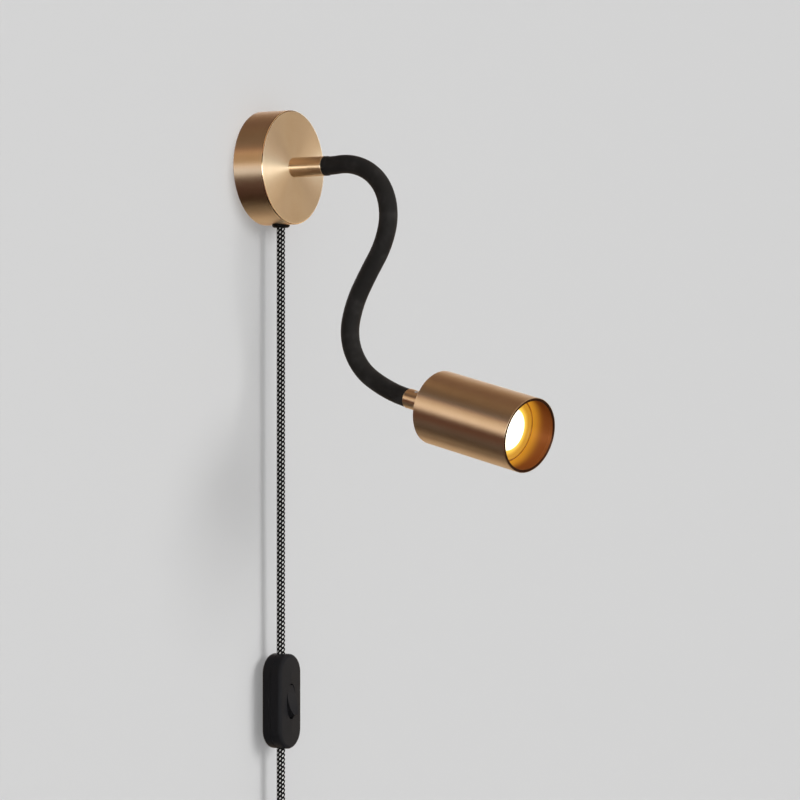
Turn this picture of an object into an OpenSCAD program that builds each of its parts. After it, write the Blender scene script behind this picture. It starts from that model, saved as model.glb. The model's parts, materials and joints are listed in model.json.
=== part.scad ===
// Wall spotlight on a flexible gooseneck arm, with a textile cord, an inline switch and a plug.
// The wall is the plane y = 0. The light stands out along -Y, +X is to its right and +Z is up.

/* [Wall canopy] */
// Outer diameter of the canopy
canopy_d = 90; // [86:1:130]
// Depth of the canopy, from the wall to its face
canopy_depth = 27; // [26:0.5:40]
// Thickness of the canopy's sheet
canopy_wall = 1.2; // [0.8:0.1:2]
// Rounding of the edge between side and face
canopy_edge_r = 1; // [0.4:0.1:2]

/* [Wall bracket] */
// Length of the strap across the wall
bracket_l = 76; // [72:1:80]
// Height of the strap
bracket_w = 14; // [12:0.5:18]
// Thickness of the strap's sheet
bracket_t = 1.5; // [1:0.1:2.5]
// Distance that the strap's middle stands off the wall
bracket_rise = 6; // [5:0.5:7]
// Distance between the two slots for the wall screws
slot_spacing = 60; // [56:1:62]
// Width of each slot
slot_w = 4.5; // [3.5:0.1:5]
// Length of each slot, end to end
slot_l = 9; // [6:0.5:10]

/* [Threaded tubes and nuts] */
// Outer diameter of the threaded tubes
thread_d = 10; // [8:0.5:10.5]
// Bore of the threaded tubes, for the leads
thread_bore = 7; // [5:0.5:7.5]
// Width of the nuts across their flats
nut_af = 14; // [13:0.5:16]
// Thickness of the nuts
nut_t = 3; // [2:0.5:3.5]

/* [Stem] */
// Diameter of the brass stem
stem_d = 15.5; // [14.5:0.1:20]
// Length of the stem, from the canopy's face to the arm
stem_l = 29; // [26:0.5:60]

/* [Flexible arm] */
// Length of the bare arm between stem and ferrule
arm_l = 262.6; // [200:0.1:400]
// Outer diameter of the rubber sleeve
arm_d = 14.5; // [13.5:0.1:15]
// Thickness of the rubber sleeve
sleeve_t = 1.3; // [0.8:0.1:1.5]
// Bore of the gooseneck, for the leads
gooseneck_bore = 6; // [4:0.5:7]
// Length of the gooseneck that sits in the stem, and in the ferrule
gooseneck_seat = 11; // [8:0.5:12]
// Diameter of the thick end of the sleeve at the stem
collar_d = 15.4; // [15.2:0.1:18]
// Length of the thick end of the sleeve
collar_l = 5.5; // [3:0.5:10]

/* [Ferrule] */
// Diameter of the ferrule that joins arm and head
ferrule_d = 15.4; // [14.5:0.1:20]
// Length of the ferrule
ferrule_l = 31; // [28:1:60]
// Diameter of the grub screw in the ferrule
grub_d = 3; // [2.5:0.5:4]
// Distance from the arm to the grub screw
grub_at = 9; // [5:0.5:10]

/* [Head] */
// Length of the head
head_l = 93.2; // [88:0.5:130]
// Gap between the lamp and the head's wall
lamp_gap = 2.15; // [1.5:0.05:8]
// Thickness of the head's wall
head_wall = 1.5; // [1:0.1:2]
// Thickness of the wall at the rim
rim_t = 2.3; // [2.1:0.1:2.6]
// Depth of the thick rim
rim_l = 3; // [2:0.5:6]
// Distance from the head's back to the lamp holder
holder_stand = 15.7; // [8:0.1:22]

/* [Lamp] */
// Diameter of the lamp
lamp_d = 50; // [46:0.5:60]
// Length of the lamp from its base to its face, without the pins
lamp_l = 46.5; // [42:0.5:48]
// Distance between the lamp's two pins
pin_spacing = 10; // [9.5:0.1:11]
// Diameter of each pin's neck
pin_neck_d = 3; // [2.6:0.1:3.2]
// Diameter of each pin's head
pin_head_d = 5; // [4.6:0.1:5.2]
// Angle that the lamp turns through to lock
lock_turn = 15; // [10:1:25]

/* [Switch] */
// Length of the inline switch
switch_l = 75; // [70:1:95]
// Width of the inline switch
switch_w = 31; // [28:0.5:36]
// Depth of the rear half, behind the cord
switch_back = 8.5; // [8:0.5:12]
// Depth of the front half, before the cord
switch_front = 9.6; // [9.2:0.2:12]
// Wall of the switch's housing
switch_wall = 1.8; // [1.4:0.1:2.2]
// Width of the rocker
rocker_w = 12; // [11:0.2:14]
// Length of the rocker
rocker_l = 26; // [24:0.2:30]
// Tilt of the rocker to each side
rocker_tilt = 12; // [8:1:14]

/* [Cord] */
// Diameter of the textile cord
cord_d = 6.6; // [5.5:0.1:7]
// Distance of the cord from the wall
cord_out = 15; // [13:0.5:16]
// Radius of the coil's inmost turn
coil_r = 27.5; // [26:0.5:32]
// Distance between turns that lie beside each other
coil_pitch = 7.1; // [7.1:0.1:9]
// Length of cord between coil and plug
tail_l = 25; // [20:1:80]

/* [Plug] */
// Diameter of the plug's face
plug_d = 37.4; // [36:0.2:39]
// Length of the plug's body
plug_l = 38; // [34:1:50]
// Length of the tapered strain relief
relief_l = 26; // [20:1:40]
// Distance between the plug's pins
plug_pin_spacing = 19; // [18:0.5:20]
// Diameter of the plug's pins
plug_pin_d = 4.8; // [4:0.1:5]
// Length of the plug's pins
plug_pin_l = 19; // [17:0.5:20]

/* [Hidden] */
$fn = 72;

// Bend of each length of the arm as it rests, in degrees: up is plus
arm_bends = [5.5, -34.5, -40.8, -33, -19.7, 3.6, 16.4, 36.2, 32.9, 13.6, 6.3];
// Turn of each length towards -X, in degrees
arm_turns = [0, 0, 0, 0, 0, 0, 0, 0, 1.5, 6, 4.5];
lengths = len(arm_bends);
last_length = lengths - 1;
every_length = [for (k = [0:last_length]) k];

// Colours
brass = "#c79f72";
steel = "#a9adb0";
black_rubber = "#232221";
black_plastic = "#2b2a2a";
textile = "#4a4948";
white_ceramic = "#ece8df";
cream_plastic = "#e2dccb";

// Clearances between pieces
thread_fit = 0.05;
seat_fit = 0.1;
sleeve_fit = 0.3;
cord_fit = 0.15;
screw_fit = 0.05;
rest_gap = 0.3;
cut = 0.5; // how far a cutting tool reaches past a face

// Stem, arm and ferrule
break_edge = 0.4;
core_r = arm_d / 2 - sleeve_t - sleeve_fit;
end_piece_r = core_r + 0.15;
end_piece_bore_r = gooseneck_bore / 2 - 0.2;
end_piece_grip = 1;
socket_r = end_piece_r + seat_fit;
socket_l = gooseneck_seat + rest_gap;
thread_r = thread_d / 2;
tapped_r = thread_r + thread_fit;
stem_thread_l = stem_l - socket_l - rest_gap;
arm_start = canopy_depth + stem_l;
ferrule_thread_l = 10;

// Wall bracket and what it carries
raised_half = 15;
foot_half = 21;
lug_w = 26;
top_lug_h = 33;
low_lug_h = 30;
plate_out = bracket_rise + bracket_t;
m3_r = 1.5;
m3_head_r = 2.7;
m3_head_h = 1.8;
screw_slot = 0.8; // width and depth of a screw's slot
clamp_w = 22;
clamp_h = 10;
clamp_drop = 23;
clamp_split = 0.4;
clamp_screw_x = 7.5;
clamp_top = cord_out + cord_d / 2 + 2;
block_w = 25;
block_h = 17;
block_t = 12;
block_up = 12;
pole_pitch = 8;
poles = [-1, 0, 1];
pole_bore_r = 1.7;
pole_out = plate_out + 5;
earth_screw_x = 11.8;
lead_r = 1.1;

// Cord inlet
grommet_r = 7;
grommet_flange = 2.2;
grommet_neck_r = 4.9;
inlet_end = -14;
canopy_r = canopy_d / 2;
inlet_exit = -canopy_r - grommet_flange;

// Head and lamp
head_r = lamp_d / 2 + lamp_gap + head_wall;
back_t = 1.5;
head_edge_r = 1;
holder_t = 12;
holder_w = 27;
holder_h = 18;
holder_corner = 4;
holder_front = holder_stand + holder_t;
strip_t = 1.2;
strip_w = 12;
holder_screw_up = 4; // from the holder's back to its two screws
holder_thread_l = 4.5;
pin_seat = 3.9; // thickness of holder that each pin's head locks behind
pin_neck_l = pin_seat + 2 * rest_gap;
pin_head_l = 3;
pin_root_l = 4; // length of each pin in the lamp's base
pin_slot_gap = 0.3;
base_l = 15;
base_r = 12;
base_foot_l = 8;
base_step = 2;
bowl_t = 1.2;
bowl_rim_l = 6;
lens_seat = 3.5;
lens_edge = 2;
lens_dish = 1.4;

// Switch
switch_z = -421;
switch_edge_r = 3;
seam_cut = 0.45; // bevel on each half's edge at the seam
switch_crown = 0.5;
switch_bore_r = cord_d / 2 + cord_fit;
cord_in_switch = 6;
rocker_gap = 0.4;
rocker_end_gap = 1.1;
rocker_up = 2.7; // height of the rocker's ends over the housing
rocker_dish = 1.4; // how far its middle lies below its ends
rocker_deep = 3.2;
pivot_deep = 3.1;
pivot_z = switch_front - pivot_deep;
pivot_pin_r = 1.2;
pivot_reach = 2.3;
cheek_w = 2.4;
boss_r = 3;
boss_x = 8.6;
boss_y = 24;
boss_screw_l = 5; // length of each screw in the front half
screw_sunk = 3;

// Cord route: round points in x, y from the wall and z
upper_heights = [-60, -76, -92, -110, -128, -146, -164, -182, -200, -218, -236, -254, -272, -290, -308,
                 -326, -344, -362];
lower_route = [[0, -462], [0, -475], [0, -490], [0, -505], [-0.4, -509.8], [-1.7, -514.5],
               [-3.8, -519], [-6.6, -523], [-10, -526.4], [-14, -529.2]];
coil_way = [-cos(30), -sin(30)];
coil_start_angle = 120;
loop_rings = 24;
turns_in = 3;
turns_out = 3 + 1 / 6;
coil_begin = lower_route[len(lower_route) - 1];
coil_first = coil_begin + cord_d * coil_way;
coil_centre = coil_first
  - (coil_r + coil_pitch * turns_in) * [cos(coil_start_angle), sin(coil_start_angle)];
tie_w = 12;
tie_t = 1.2;

// Plug
plug_shoulder = 8;
plug_neck_r = 6.6;
relief_tip_r = 4.7;
cord_in_plug = 5;
clip_w = 4.6;
clip_deep = 2.6;
clip_recess_l = 22;
guide_w = 6;
guide_deep = 1.6;
guide_l = 12.5;
pin_root = 6;
pin_step = 0.4; // how much thinner each pin is inside the plug

// Helpers

// Turns +Z away from the wall and +Y upwards
module out_of_wall() {
  rotate([90, 0, 0]) children();
}

function arc_points(c, r, from, to, steps = 5) =
  [for (i = [0:steps]) c + r * [cos(from + (to - from) * i / steps), sin(from + (to - from) * i / steps)]];

function unit(v) = v / norm(v);

function travel(p, i) =
  i == 0 ? unit(p[1] - p[0])
  : i == len(p) - 1 ? unit(p[i] - p[i - 1])
  : unit(unit(p[i + 1] - p[i]) + unit(p[i] - p[i - 1]));

function ring_points(c, way, across, r, sides) =
  let (a = unit(cross(way, across)), b = cross(way, a))
  [for (j = [0:sides - 1]) c + r * (cos(360 * j / sides) * a + sin(360 * j / sides) * b)];

// A round tube swept along points, with flat ends square to the first and last step
module swept_tube(p, r, sides = 12, across = [0, 1, 0], first = undef, last = undef) {
  n = len(p);
  way = [for (i = [0:n - 1])
    i == 0 && first != undef ? first : i == n - 1 && last != undef ? last : travel(p, i)];
  rings = [for (i = [0:n - 1]) each ring_points(p[i], way[i], across, r, sides)];
  wall = [for (i = [0:n - 2], j = [0:sides - 1])
    let (a = i * sides + j, b = i * sides + (j + 1) % sides, c = b + sides, d = a + sides)
    each [[a, d, c], [a, c, b]]];
  polyhedron(rings, concat(wall, [[for (j = [0:sides - 1]) j]],
    [[for (j = [sides - 1:-1:0]) (n - 1) * sides + j]]));
}

module hex_nut(bore_r) {
  difference() {
    cylinder(d = nut_af / cos(30), h = nut_t, $fn = 6);
    translate([0, 0, -cut]) cylinder(r = bore_r, h = nut_t + 2 * cut);
  }
}

// A pan head on a shank that points down from z = 0
module pan_screw(shank) {
  difference() {
    union() {
      cylinder(r = m3_head_r, h = m3_head_h);
      translate([0, 0, -shank]) cylinder(r = m3_r, h = shank + cut);
    }
    translate([-m3_head_r, -screw_slot / 2, m3_head_h - screw_slot])
      cube([2 * m3_head_r, screw_slot, screw_slot + cut]);
  }
}

module rounded_plate(w, h, r, t) {
  linear_extrude(t) {
    square([w - 2 * r, h], center = true);
    square([w, h - 2 * r], center = true);
    for (x = [-1, 1], y = [-1, 1]) translate([x * (w / 2 - r), y * (h / 2 - r)]) circle(r);
  }
}

// Arm frames: +Z runs along the arm and +Y is its upper side

// The first and the last length are half as long as the others
function length_of(k) = arm_l / last_length * (k == 0 || k == last_length ? 0.5 : 1);
function bend_of(k) = norm([arm_bends[k], arm_turns[k]]);
function bend_way(k) = atan2(arm_bends[k], -arm_turns[k]);
function bend_r(k) = length_of(k) / (bend_of(k) * PI / 180);

// Places children at the end of length k, seen from its start
module past_length(k) {
  bend = bend_of(k);
  r = bend_r(k);
  rotate([0, 0, bend_way(k)])
    translate([r * (1 - cos(bend)), 0, r * sin(bend)])
      rotate([0, bend, 0])
        rotate([0, 0, -bend_way(k)]) children();
}

// Places children at the start of length k, or at the arm's end if k is the number of lengths
module along_arm(k) {
  if (k == 0) out_of_wall() translate([0, 0, arm_start]) children();
  else along_arm(k - 1) past_length(k - 1) children();
}

// Length k as a bent ring
module bent_ring(k, outer_r, inner_r) {
  bend = bend_of(k);
  along_arm(k)
    rotate([0, 0, bend_way(k)])
      translate([bend_r(k), 0, 0])
        rotate([90, 0, 0])
          rotate([0, 0, 180 - bend])
            rotate_extrude(angle = bend)
              translate([bend_r(k), 0]) difference() {
                circle(outer_r);
                circle(inner_r);
              }
}

module at_head() {
  along_arm(lengths) translate([0, 0, ferrule_l]) children();
}

module at_lamp() {
  at_head() translate([0, 0, holder_front + rest_gap]) children();
}

module at_switch() {
  translate([0, -cord_out, switch_z]) rotate([90, 0, 0]) children();
}

// Wall fixing

module wall_bracket() {
  slope = bracket_rise / (foot_half - raised_half);
  side = [[-bracket_l / 2, 0], [-foot_half, 0], [-raised_half, bracket_rise], [raised_half, bracket_rise],
    [foot_half, 0], [bracket_l / 2, 0], [bracket_l / 2, bracket_t], [foot_half + bracket_t / 2, bracket_t],
    [raised_half + bracket_t / 2, plate_out], [-raised_half - bracket_t / 2, plate_out],
    [-foot_half - bracket_t / 2, bracket_t], [-bracket_l / 2, bracket_t]];
  color(steel) out_of_wall() difference() {
    union() {
      rotate([90, 0, 0]) linear_extrude(bracket_w, center = true) polygon(side);
      translate([-lug_w / 2, bracket_w / 2 - cut, bracket_rise])
        cube([lug_w, top_lug_h - bracket_w / 2 + cut, bracket_t]);
      translate([-lug_w / 2, -low_lug_h, bracket_rise])
        cube([lug_w, low_lug_h - bracket_w / 2 + cut, bracket_t]);
    }
    for (x = [-1, 1] * slot_spacing / 2) translate([x, 0, -cut]) wall_slot();
    cylinder(r = tapped_r, h = plate_out + cut);
    for (p = screw_places()) translate([p.x, p.y, 0]) cylinder(r = m3_r + screw_fit, h = plate_out + cut);
  }
}

module wall_slot() {
  linear_extrude(bracket_t + 2 * cut) {
    square([slot_l - slot_w, slot_w], center = true);
    for (x = [-1, 1]) translate([x * (slot_l - slot_w) / 2, 0]) circle(d = slot_w);
  }
}

// Screws in the bracket: x, height, where the head sits and the shank's length
function screw_places() = [
  [-clamp_screw_x, -clamp_drop, clamp_top, clamp_top - bracket_rise + 1],
  [clamp_screw_x, -clamp_drop, clamp_top, clamp_top - bracket_rise + 1],
  [pole_pitch / 2, block_up + block_h / 2, plate_out + block_t, block_t + bracket_t + 1],
  [-earth_screw_x, 0, plate_out, bracket_t + 2]];

module bracket_screws() {
  color(steel) out_of_wall()
    for (p = screw_places()) translate([p.x, p.y, p.z]) pan_screw(p[3]);
}

module bracket_nuts() {
  color(brass) out_of_wall() {
    translate([0, 0, bracket_rise - nut_t]) hex_nut(tapped_r);
    translate([0, 0, plate_out]) hex_nut(tapped_r);
  }
}

module hollow_tube(length) {
  difference() {
    cylinder(r = thread_r, h = length);
    translate([0, 0, -cut]) cylinder(d = thread_bore, h = length + 2 * cut);
  }
}

module hollow_nipple() {
  back = bracket_rise - nut_t - break_edge;
  color(steel) out_of_wall() translate([0, 0, back]) hollow_tube(canopy_depth + stem_thread_l - back);
}

module canopy() {
  face_in = canopy_depth - canopy_wall;
  color(brass) out_of_wall() difference() {
    rotate_extrude() polygon(concat(
      [[tapped_r, face_in], [tapped_r, canopy_depth]],
      arc_points([canopy_r - canopy_edge_r, canopy_depth - canopy_edge_r], canopy_edge_r, 90, 0),
      [[canopy_r, 0], [canopy_r - canopy_wall, 0], [canopy_r - canopy_wall, face_in]]));
    translate([0, 0, cord_out]) rotate([90, 0, 0])
      cylinder(r = grommet_neck_r + screw_fit, h = canopy_r + cut);
  }
}

module stem() {
  r = stem_d / 2;
  color(brass) out_of_wall() translate([0, 0, canopy_depth]) rotate_extrude() polygon([
    [tapped_r, 0], [r - break_edge, 0], [r, break_edge], [r, stem_l - break_edge], [r - break_edge, stem_l],
    [socket_r, stem_l], [socket_r, stem_l - socket_l], [tapped_r, stem_l - socket_l]]);
}

// Cord inlet and wiring in the canopy

// Turns +Z downwards at the cord's place
module down_cord() {
  translate([0, -cord_out, 0]) rotate([180, 0, 0]) children();
}

module cord_grommet() {
  inner_r = canopy_r - canopy_wall - screw_fit;
  lip = 2;
  joined = 1; // how far neck, flange and lip reach into each other
  flange_round = 1.9;
  color(black_rubber) difference() {
    union() {
      down_cord() translate([0, 0, inner_r - lip]) cylinder(r = grommet_neck_r, h = lip + canopy_wall + joined);
      difference() {
        down_cord() rotate_extrude() polygon(concat([[0, canopy_r - joined], [grommet_r, canopy_r - joined]],
          arc_points([grommet_r - flange_round, -inlet_exit - flange_round], flange_round, 0, 90),
          [[0, -inlet_exit]]));
        out_of_wall() cylinder(r = canopy_r + screw_fit, h = canopy_depth);
      }
      intersection() {
        down_cord() translate([0, 0, inner_r - lip]) cylinder(r = grommet_r - 0.5, h = lip + joined);
        out_of_wall() cylinder(r = inner_r, h = canopy_depth);
      }
    }
    down_cord() cylinder(r = cord_d / 2 + cord_fit, h = canopy_r + 2 * grommet_flange);
  }
}

module cord_inlet() {
  color(textile) down_cord() translate([0, 0, -inlet_end]) cylinder(d = cord_d, h = inlet_end - inlet_exit);
}

module cord_clamp() {
  halves = [[plate_out, cord_out - clamp_split], [cord_out + clamp_split, clamp_top]];
  color(white_ceramic) out_of_wall() difference() {
    for (h = halves)
      translate([-clamp_w / 2, -clamp_drop - clamp_h / 2, h[0]]) cube([clamp_w, clamp_h, h[1] - h[0]]);
    translate([0, 0, cord_out]) rotate([90, 0, 0]) cylinder(r = cord_d / 2 + screw_fit, h = low_lug_h + cut);
    for (x = [-1, 1] * clamp_screw_x)
      translate([x, -clamp_drop, bracket_rise]) cylinder(r = m3_r + screw_fit, h = clamp_top);
  }
}

module terminal_block() {
  screw_hole_r = 1.6;
  color(cream_plastic) out_of_wall() difference() {
    union() {
      translate([-block_w / 2, block_up, plate_out]) cube([block_w, block_h, block_t - 4]);
      for (x = poles * pole_pitch) translate([x - 3, block_up, plate_out]) cube([6, block_h, block_t]);
    }
    for (x = poles * pole_pitch) {
      translate([x, block_up - cut, pole_out]) rotate([-90, 0, 0])
        cylinder(r = pole_bore_r + 0.6, h = block_h + 2 * cut);
      for (y = contact_screw_heights()) translate([x, y, pole_out]) cylinder(r = screw_hole_r, h = block_t);
    }
    translate([pole_pitch / 2, block_up + block_h / 2, bracket_rise])
      cylinder(r = m3_r + screw_fit, h = 2 * block_t);
    translate([pole_pitch / 2, block_up + block_h / 2, plate_out + block_t - 4])
      cylinder(r = m3_head_r + seat_fit, h = block_t);
  }
}

function contact_screw_heights() = [for (s = [-1, 1]) block_up + block_h / 2 + s * block_h / 4];

// A brass sleeve with two grub screws for each pole
module terminal_contacts() {
  color(brass) out_of_wall() for (x = poles * pole_pitch) {
    translate([x, block_up + 1, pole_out]) rotate([-90, 0, 0]) difference() {
      cylinder(r = pole_bore_r + 0.5, h = block_h - 2);
      translate([0, 0, -cut]) cylinder(r = pole_bore_r - 0.3, h = block_h);
      for (y = contact_screw_heights())
        translate([0, 0, y - block_up - 1]) rotate([90, 0, 0]) cylinder(r = 1.3 + screw_fit, h = block_t);
    }
    for (y = contact_screw_heights()) translate([x, y, pole_out + pole_bore_r - 0.5]) cylinder(r = 1.3, h = 4);
  }
}

// Leads from the cord to the block, and from the block down behind the bracket into the nipple
module canopy_wires() {
  fan_r = 1.45; // how far each lead lies from the cord's axis where they part
  lead_step = 2.3; // between leads side by side in the hollow tube
  behind = 1.4; // how far they lie off the wall behind the bracket
  over = top_lug_h + 5.4; // how high they loop over the bracket
  block_low = block_up + 3;
  block_top = block_up + block_h - 3;
  aside = [-10, -7, 10];
  color("#8a5a3c") for (k = poles) {
    x = k * pole_pitch;
    past = aside[k + 1];
    from = [fan_r * sin(120 * k), cord_out + fan_r * cos(120 * k)];
    swept_tube([[from.x, from.y, inlet_end], [from.x, from.y, -13], [past * 0.65, from.y, -9.5],
      [past, 13.8, -4.5], [past, pole_out, 1], [(past + x) / 2, pole_out, 7.4],
      [x, pole_out, 11], [x, pole_out, block_low]] * wall_axes(), lead_r, 6, [0.3, 1, 0.2]);
    swept_tube([[k * lead_step, 9, 0], [k * lead_step, 2.5, 0], [k * lead_step, behind, 1],
      [k * lead_step, behind, 5], [x * 0.8, behind, 12], [x, behind, over - 6], [x, 2.6, over - 2],
      [x, 5.6, over], [x, 9.4, over], [x, 12, over - 2.4], [x, pole_out, over - 5.4],
      [x, pole_out, block_top]] * wall_axes(), lead_r, 6, [1, 0, 0.02]);
  }
}

// Turns a point's distance from the wall into -Y
function wall_axes() = [[1, 0, 0], [0, -1, 0], [0, 0, 1]];

// Arm

module gooseneck_core(k) {
  color("#6f7174") {
    bent_ring(k, core_r, gooseneck_bore / 2);
    if (k == 0) along_arm(0) translate([0, 0, -gooseneck_seat]) end_piece();
    if (k == last_length) along_arm(lengths) translate([0, 0, -end_piece_grip]) end_piece();
  }
}

// The turned piece crimped on each end of the gooseneck
module end_piece() {
  difference() {
    cylinder(r = end_piece_r, h = gooseneck_seat + end_piece_grip);
    translate([0, 0, -cut]) cylinder(r = end_piece_bore_r, h = gooseneck_seat + end_piece_grip + 2 * cut);
  }
}

module arm_sleeve(k) {
  color(black_rubber) {
    bent_ring(k, arm_d / 2, arm_d / 2 - sleeve_t);
    if (k == 0) along_arm(0) sleeve_collar();
  }
}

// A thicker band round the sleeve's start, moulded in one with it
module sleeve_collar() {
  r = collar_d / 2;
  root_r = (arm_d - sleeve_t) / 2;
  round_r = min(1.2, collar_l / 3);
  rotate_extrude() polygon(concat(
    [[root_r, 0], [r - break_edge, 0], [r, break_edge]],
    arc_points([r - round_r, collar_l - round_r], round_r, 0, 75),
    [[root_r, collar_l]]));
}

module at_grub_screw() {
  tilt = 27;
  along_arm(lengths) translate([0, 0, grub_at]) rotate([0, 0, 90 + tilt]) rotate([0, 90, 0]) children();
}

module head_ferrule() {
  r = ferrule_d / 2;
  color(brass) difference() {
    along_arm(lengths) rotate_extrude() polygon([
      [socket_r, 0], [r - break_edge, 0], [r, break_edge], [r, ferrule_l - break_edge],
      [r - break_edge, ferrule_l], [tapped_r, ferrule_l], [tapped_r, ferrule_l - ferrule_thread_l],
      [thread_bore / 2, ferrule_l - ferrule_thread_l], [thread_bore / 2, socket_l], [socket_r, socket_l]]);
    at_grub_screw() cylinder(d = grub_d + 2 * screw_fit, h = ferrule_d);
  }
}

module ferrule_grub_screw() {
  color(steel) at_grub_screw() difference() {
    translate([0, 0, socket_r - seat_fit]) cylinder(d = grub_d, h = ferrule_d / 2 - socket_r + 2 * seat_fit);
    translate([0, 0, ferrule_d / 2 - 1]) cylinder(d = grub_d / 2, h = 2, $fn = 6);
  }
}

// Head

module head_shell() {
  inner_r = head_r - head_wall;
  rim_r = head_r - rim_t;
  color(brass) at_head() rotate_extrude() polygon(concat(
    [[tapped_r, 0]],
    arc_points([head_r - head_edge_r, head_edge_r], head_edge_r, -90, 0),
    [[head_r, head_l - break_edge], [head_r - break_edge, head_l], [rim_r + break_edge, head_l],
     [rim_r, head_l - break_edge], [rim_r, head_l - rim_l], [inner_r, head_l - rim_l - rim_t + head_wall],
     [inner_r, back_t], [tapped_r, back_t]]));
}

module head_nipple() {
  color(steel) at_head() translate([0, 0, rest_gap - ferrule_thread_l])
    hollow_tube(ferrule_thread_l - rest_gap + back_t + strip_t + nut_t);
}

module head_nut() {
  color(brass) at_head() translate([0, 0, back_t + strip_t]) hex_nut(tapped_r);
}

// A bent strip that holds the lamp holder between its two legs
module holder_bracket() {
  inner = holder_w / 2 + seat_fit;
  outer = inner + strip_t;
  foot = back_t;
  leg = holder_stand + holder_t * 0.7;
  color(steel) at_head() difference() {
    rotate([90, 0, 0]) linear_extrude(strip_w, center = true) polygon([
      [-outer, foot], [outer, foot], [outer, leg], [inner, leg], [inner, foot + strip_t],
      [-inner, foot + strip_t], [-inner, leg], [-outer, leg]]);
    cylinder(r = tapped_r, h = back_t + strip_t + cut);
    for (s = [-1, 1]) translate([0, 0, holder_stand + holder_screw_up]) rotate([0, s * 90, 0])
      cylinder(r = m3_r + screw_fit, h = holder_w);
  }
}

module holder_screws() {
  color(steel) at_head() for (s = [-1, 1])
    translate([0, 0, holder_stand + holder_screw_up]) rotate([0, s * 90, 0])
      translate([0, 0, holder_w / 2 + seat_fit + strip_t]) pan_screw(strip_t + holder_thread_l - 0.5);
}

// Keyhole slots: each pin goes in at the wide end and locks after the lamp's turn
module lamp_holder() {
  pin_r = pin_spacing / 2;
  neck_r = pin_neck_d / 2 + pin_slot_gap;
  head_slot_r = pin_head_d / 2 + pin_slot_gap;
  color(white_ceramic) at_head() translate([0, 0, holder_stand]) difference() {
    rounded_plate(holder_w, holder_h, holder_corner, holder_t);
    for (side = [0, 180]) rotate([0, 0, side]) {
      translate([0, 0, holder_t - pin_seat - cut]) pin_slot(pin_r, neck_r, pin_seat + 2 * cut);
      translate([0, 0, holder_t - pin_seat - pin_head_l - 2 * rest_gap])
        pin_slot(pin_r, head_slot_r, pin_head_l + 2 * rest_gap);
      rotate([0, 0, lock_turn]) translate([pin_r, 0, holder_t - pin_seat - cut])
        cylinder(r = head_slot_r, h = pin_seat + 2 * cut);
    }
    for (s = [-1, 1]) translate([0, 0, holder_screw_up]) rotate([0, s * 90, 0])
      translate([0, 0, holder_w / 2 - holder_thread_l])
        cylinder(r = m3_r + screw_fit, h = holder_thread_l + cut);
  }
}

module pin_slot(pin_r, slot_r, depth) {
  rotate_extrude(angle = lock_turn) translate([pin_r - slot_r, 0]) square([2 * slot_r, depth]);
  for (a = [0, lock_turn]) rotate([0, 0, a]) translate([pin_r, 0, 0]) cylinder(r = slot_r, h = depth);
}

// Lamp

module lamp_base() {
  foot_r = base_r - base_step;
  color(white_ceramic) at_lamp() difference() {
    rotate_extrude() polygon([[0, 0], [foot_r - break_edge, 0], [foot_r, break_edge], [foot_r, base_foot_l],
      [base_r, base_foot_l + base_step], [base_r, base_l], [0, base_l]]);
    for (s = [-1, 1]) translate([s * pin_spacing / 2, 0, -cut])
      cylinder(d = pin_neck_d + 2 * screw_fit, h = pin_root_l + 2 * cut);
  }
}

module lamp_pins() {
  color(steel) at_lamp() for (s = [-1, 1]) translate([s * pin_spacing / 2, 0, 0]) {
    translate([0, 0, -pin_neck_l - cut]) cylinder(d = pin_neck_d, h = pin_neck_l + cut + pin_root_l);
    translate([0, 0, -pin_neck_l - pin_head_l]) cylinder(d = pin_head_d, h = pin_head_l);
  }
}

// Outline of the bowl: radius at a height over the lamp's base
function bowl_r(z, inset) =
  base_r - inset + (lamp_d / 2 - base_r) * sqrt(max(0, (z - base_l) / (lamp_l - bowl_rim_l - base_l)));

module lamp_reflector() {
  steps = 10;
  reach = lamp_l - bowl_rim_l - base_l;
  outer = [for (i = [0:steps]) let (z = base_l + reach * pow(i / steps, 2)) [bowl_r(z, 0), z]];
  inner = [for (i = [steps:-1:1]) let (z = base_l + reach * pow(i / steps, 2)) [bowl_r(z, bowl_t), z + 0.4]];
  seat_r = lens_r() + seat_fit;
  color("#cfd2d6") at_lamp() rotate_extrude() polygon(concat(
    [[0, base_l]], outer,
    [[lamp_d / 2, lamp_l - break_edge], [lamp_d / 2 - break_edge, lamp_l], [seat_r, lamp_l],
     [seat_r, lamp_l - lens_seat], [lens_r() - lens_edge, lamp_l - lens_seat]],
    inner, [[0, base_l + bowl_t]]));
}

function lens_r() = lamp_d / 2 - bowl_t;

// Front lens: a dished disc with a raised ring round its middle
module lamp_lens() {
  r = lens_r();
  back = lamp_l - lens_seat + screw_fit;
  rim = lamp_l - break_edge;
  dish = lamp_l - lens_dish;
  ring = dish + 0.6;
  color("#fff1cf") at_lamp() rotate_extrude() polygon([
    [0, back], [r, back], [r, rim], [r - 1.2, rim], [r - lens_edge, dish],
    [r * 0.55, dish], [r * 0.5, ring], [r * 0.4, ring], [r * 0.35, dish], [0, dish]]);
}

// Switch

// Half outline of a housing, from the seam to its face
function pill_half(half_w, depth, round_r, crown, seam = 0) =
  concat(seam > 0 ? [[0, 0], [half_w - seam, 0], [half_w, seam]] : [[0, 0], [half_w, 0]],
    arc_points([half_w - round_r, depth - round_r], round_r, 0, 90),
    [[0, depth + crown]]);

// A housing with straight sides and half-round ends
module pill(half, length) {
  w = max([for (p = half) p.x]);
  straight = length - 2 * w;
  rotate([90, 0, 0]) linear_extrude(straight, center = true)
    polygon(concat(half, [for (i = [len(half) - 1:-1:0]) [-half[i].x, half[i].y]]));
  for (s = [-1, 1]) translate([0, s * straight / 2, 0]) rotate_extrude() polygon(half);
}

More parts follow.
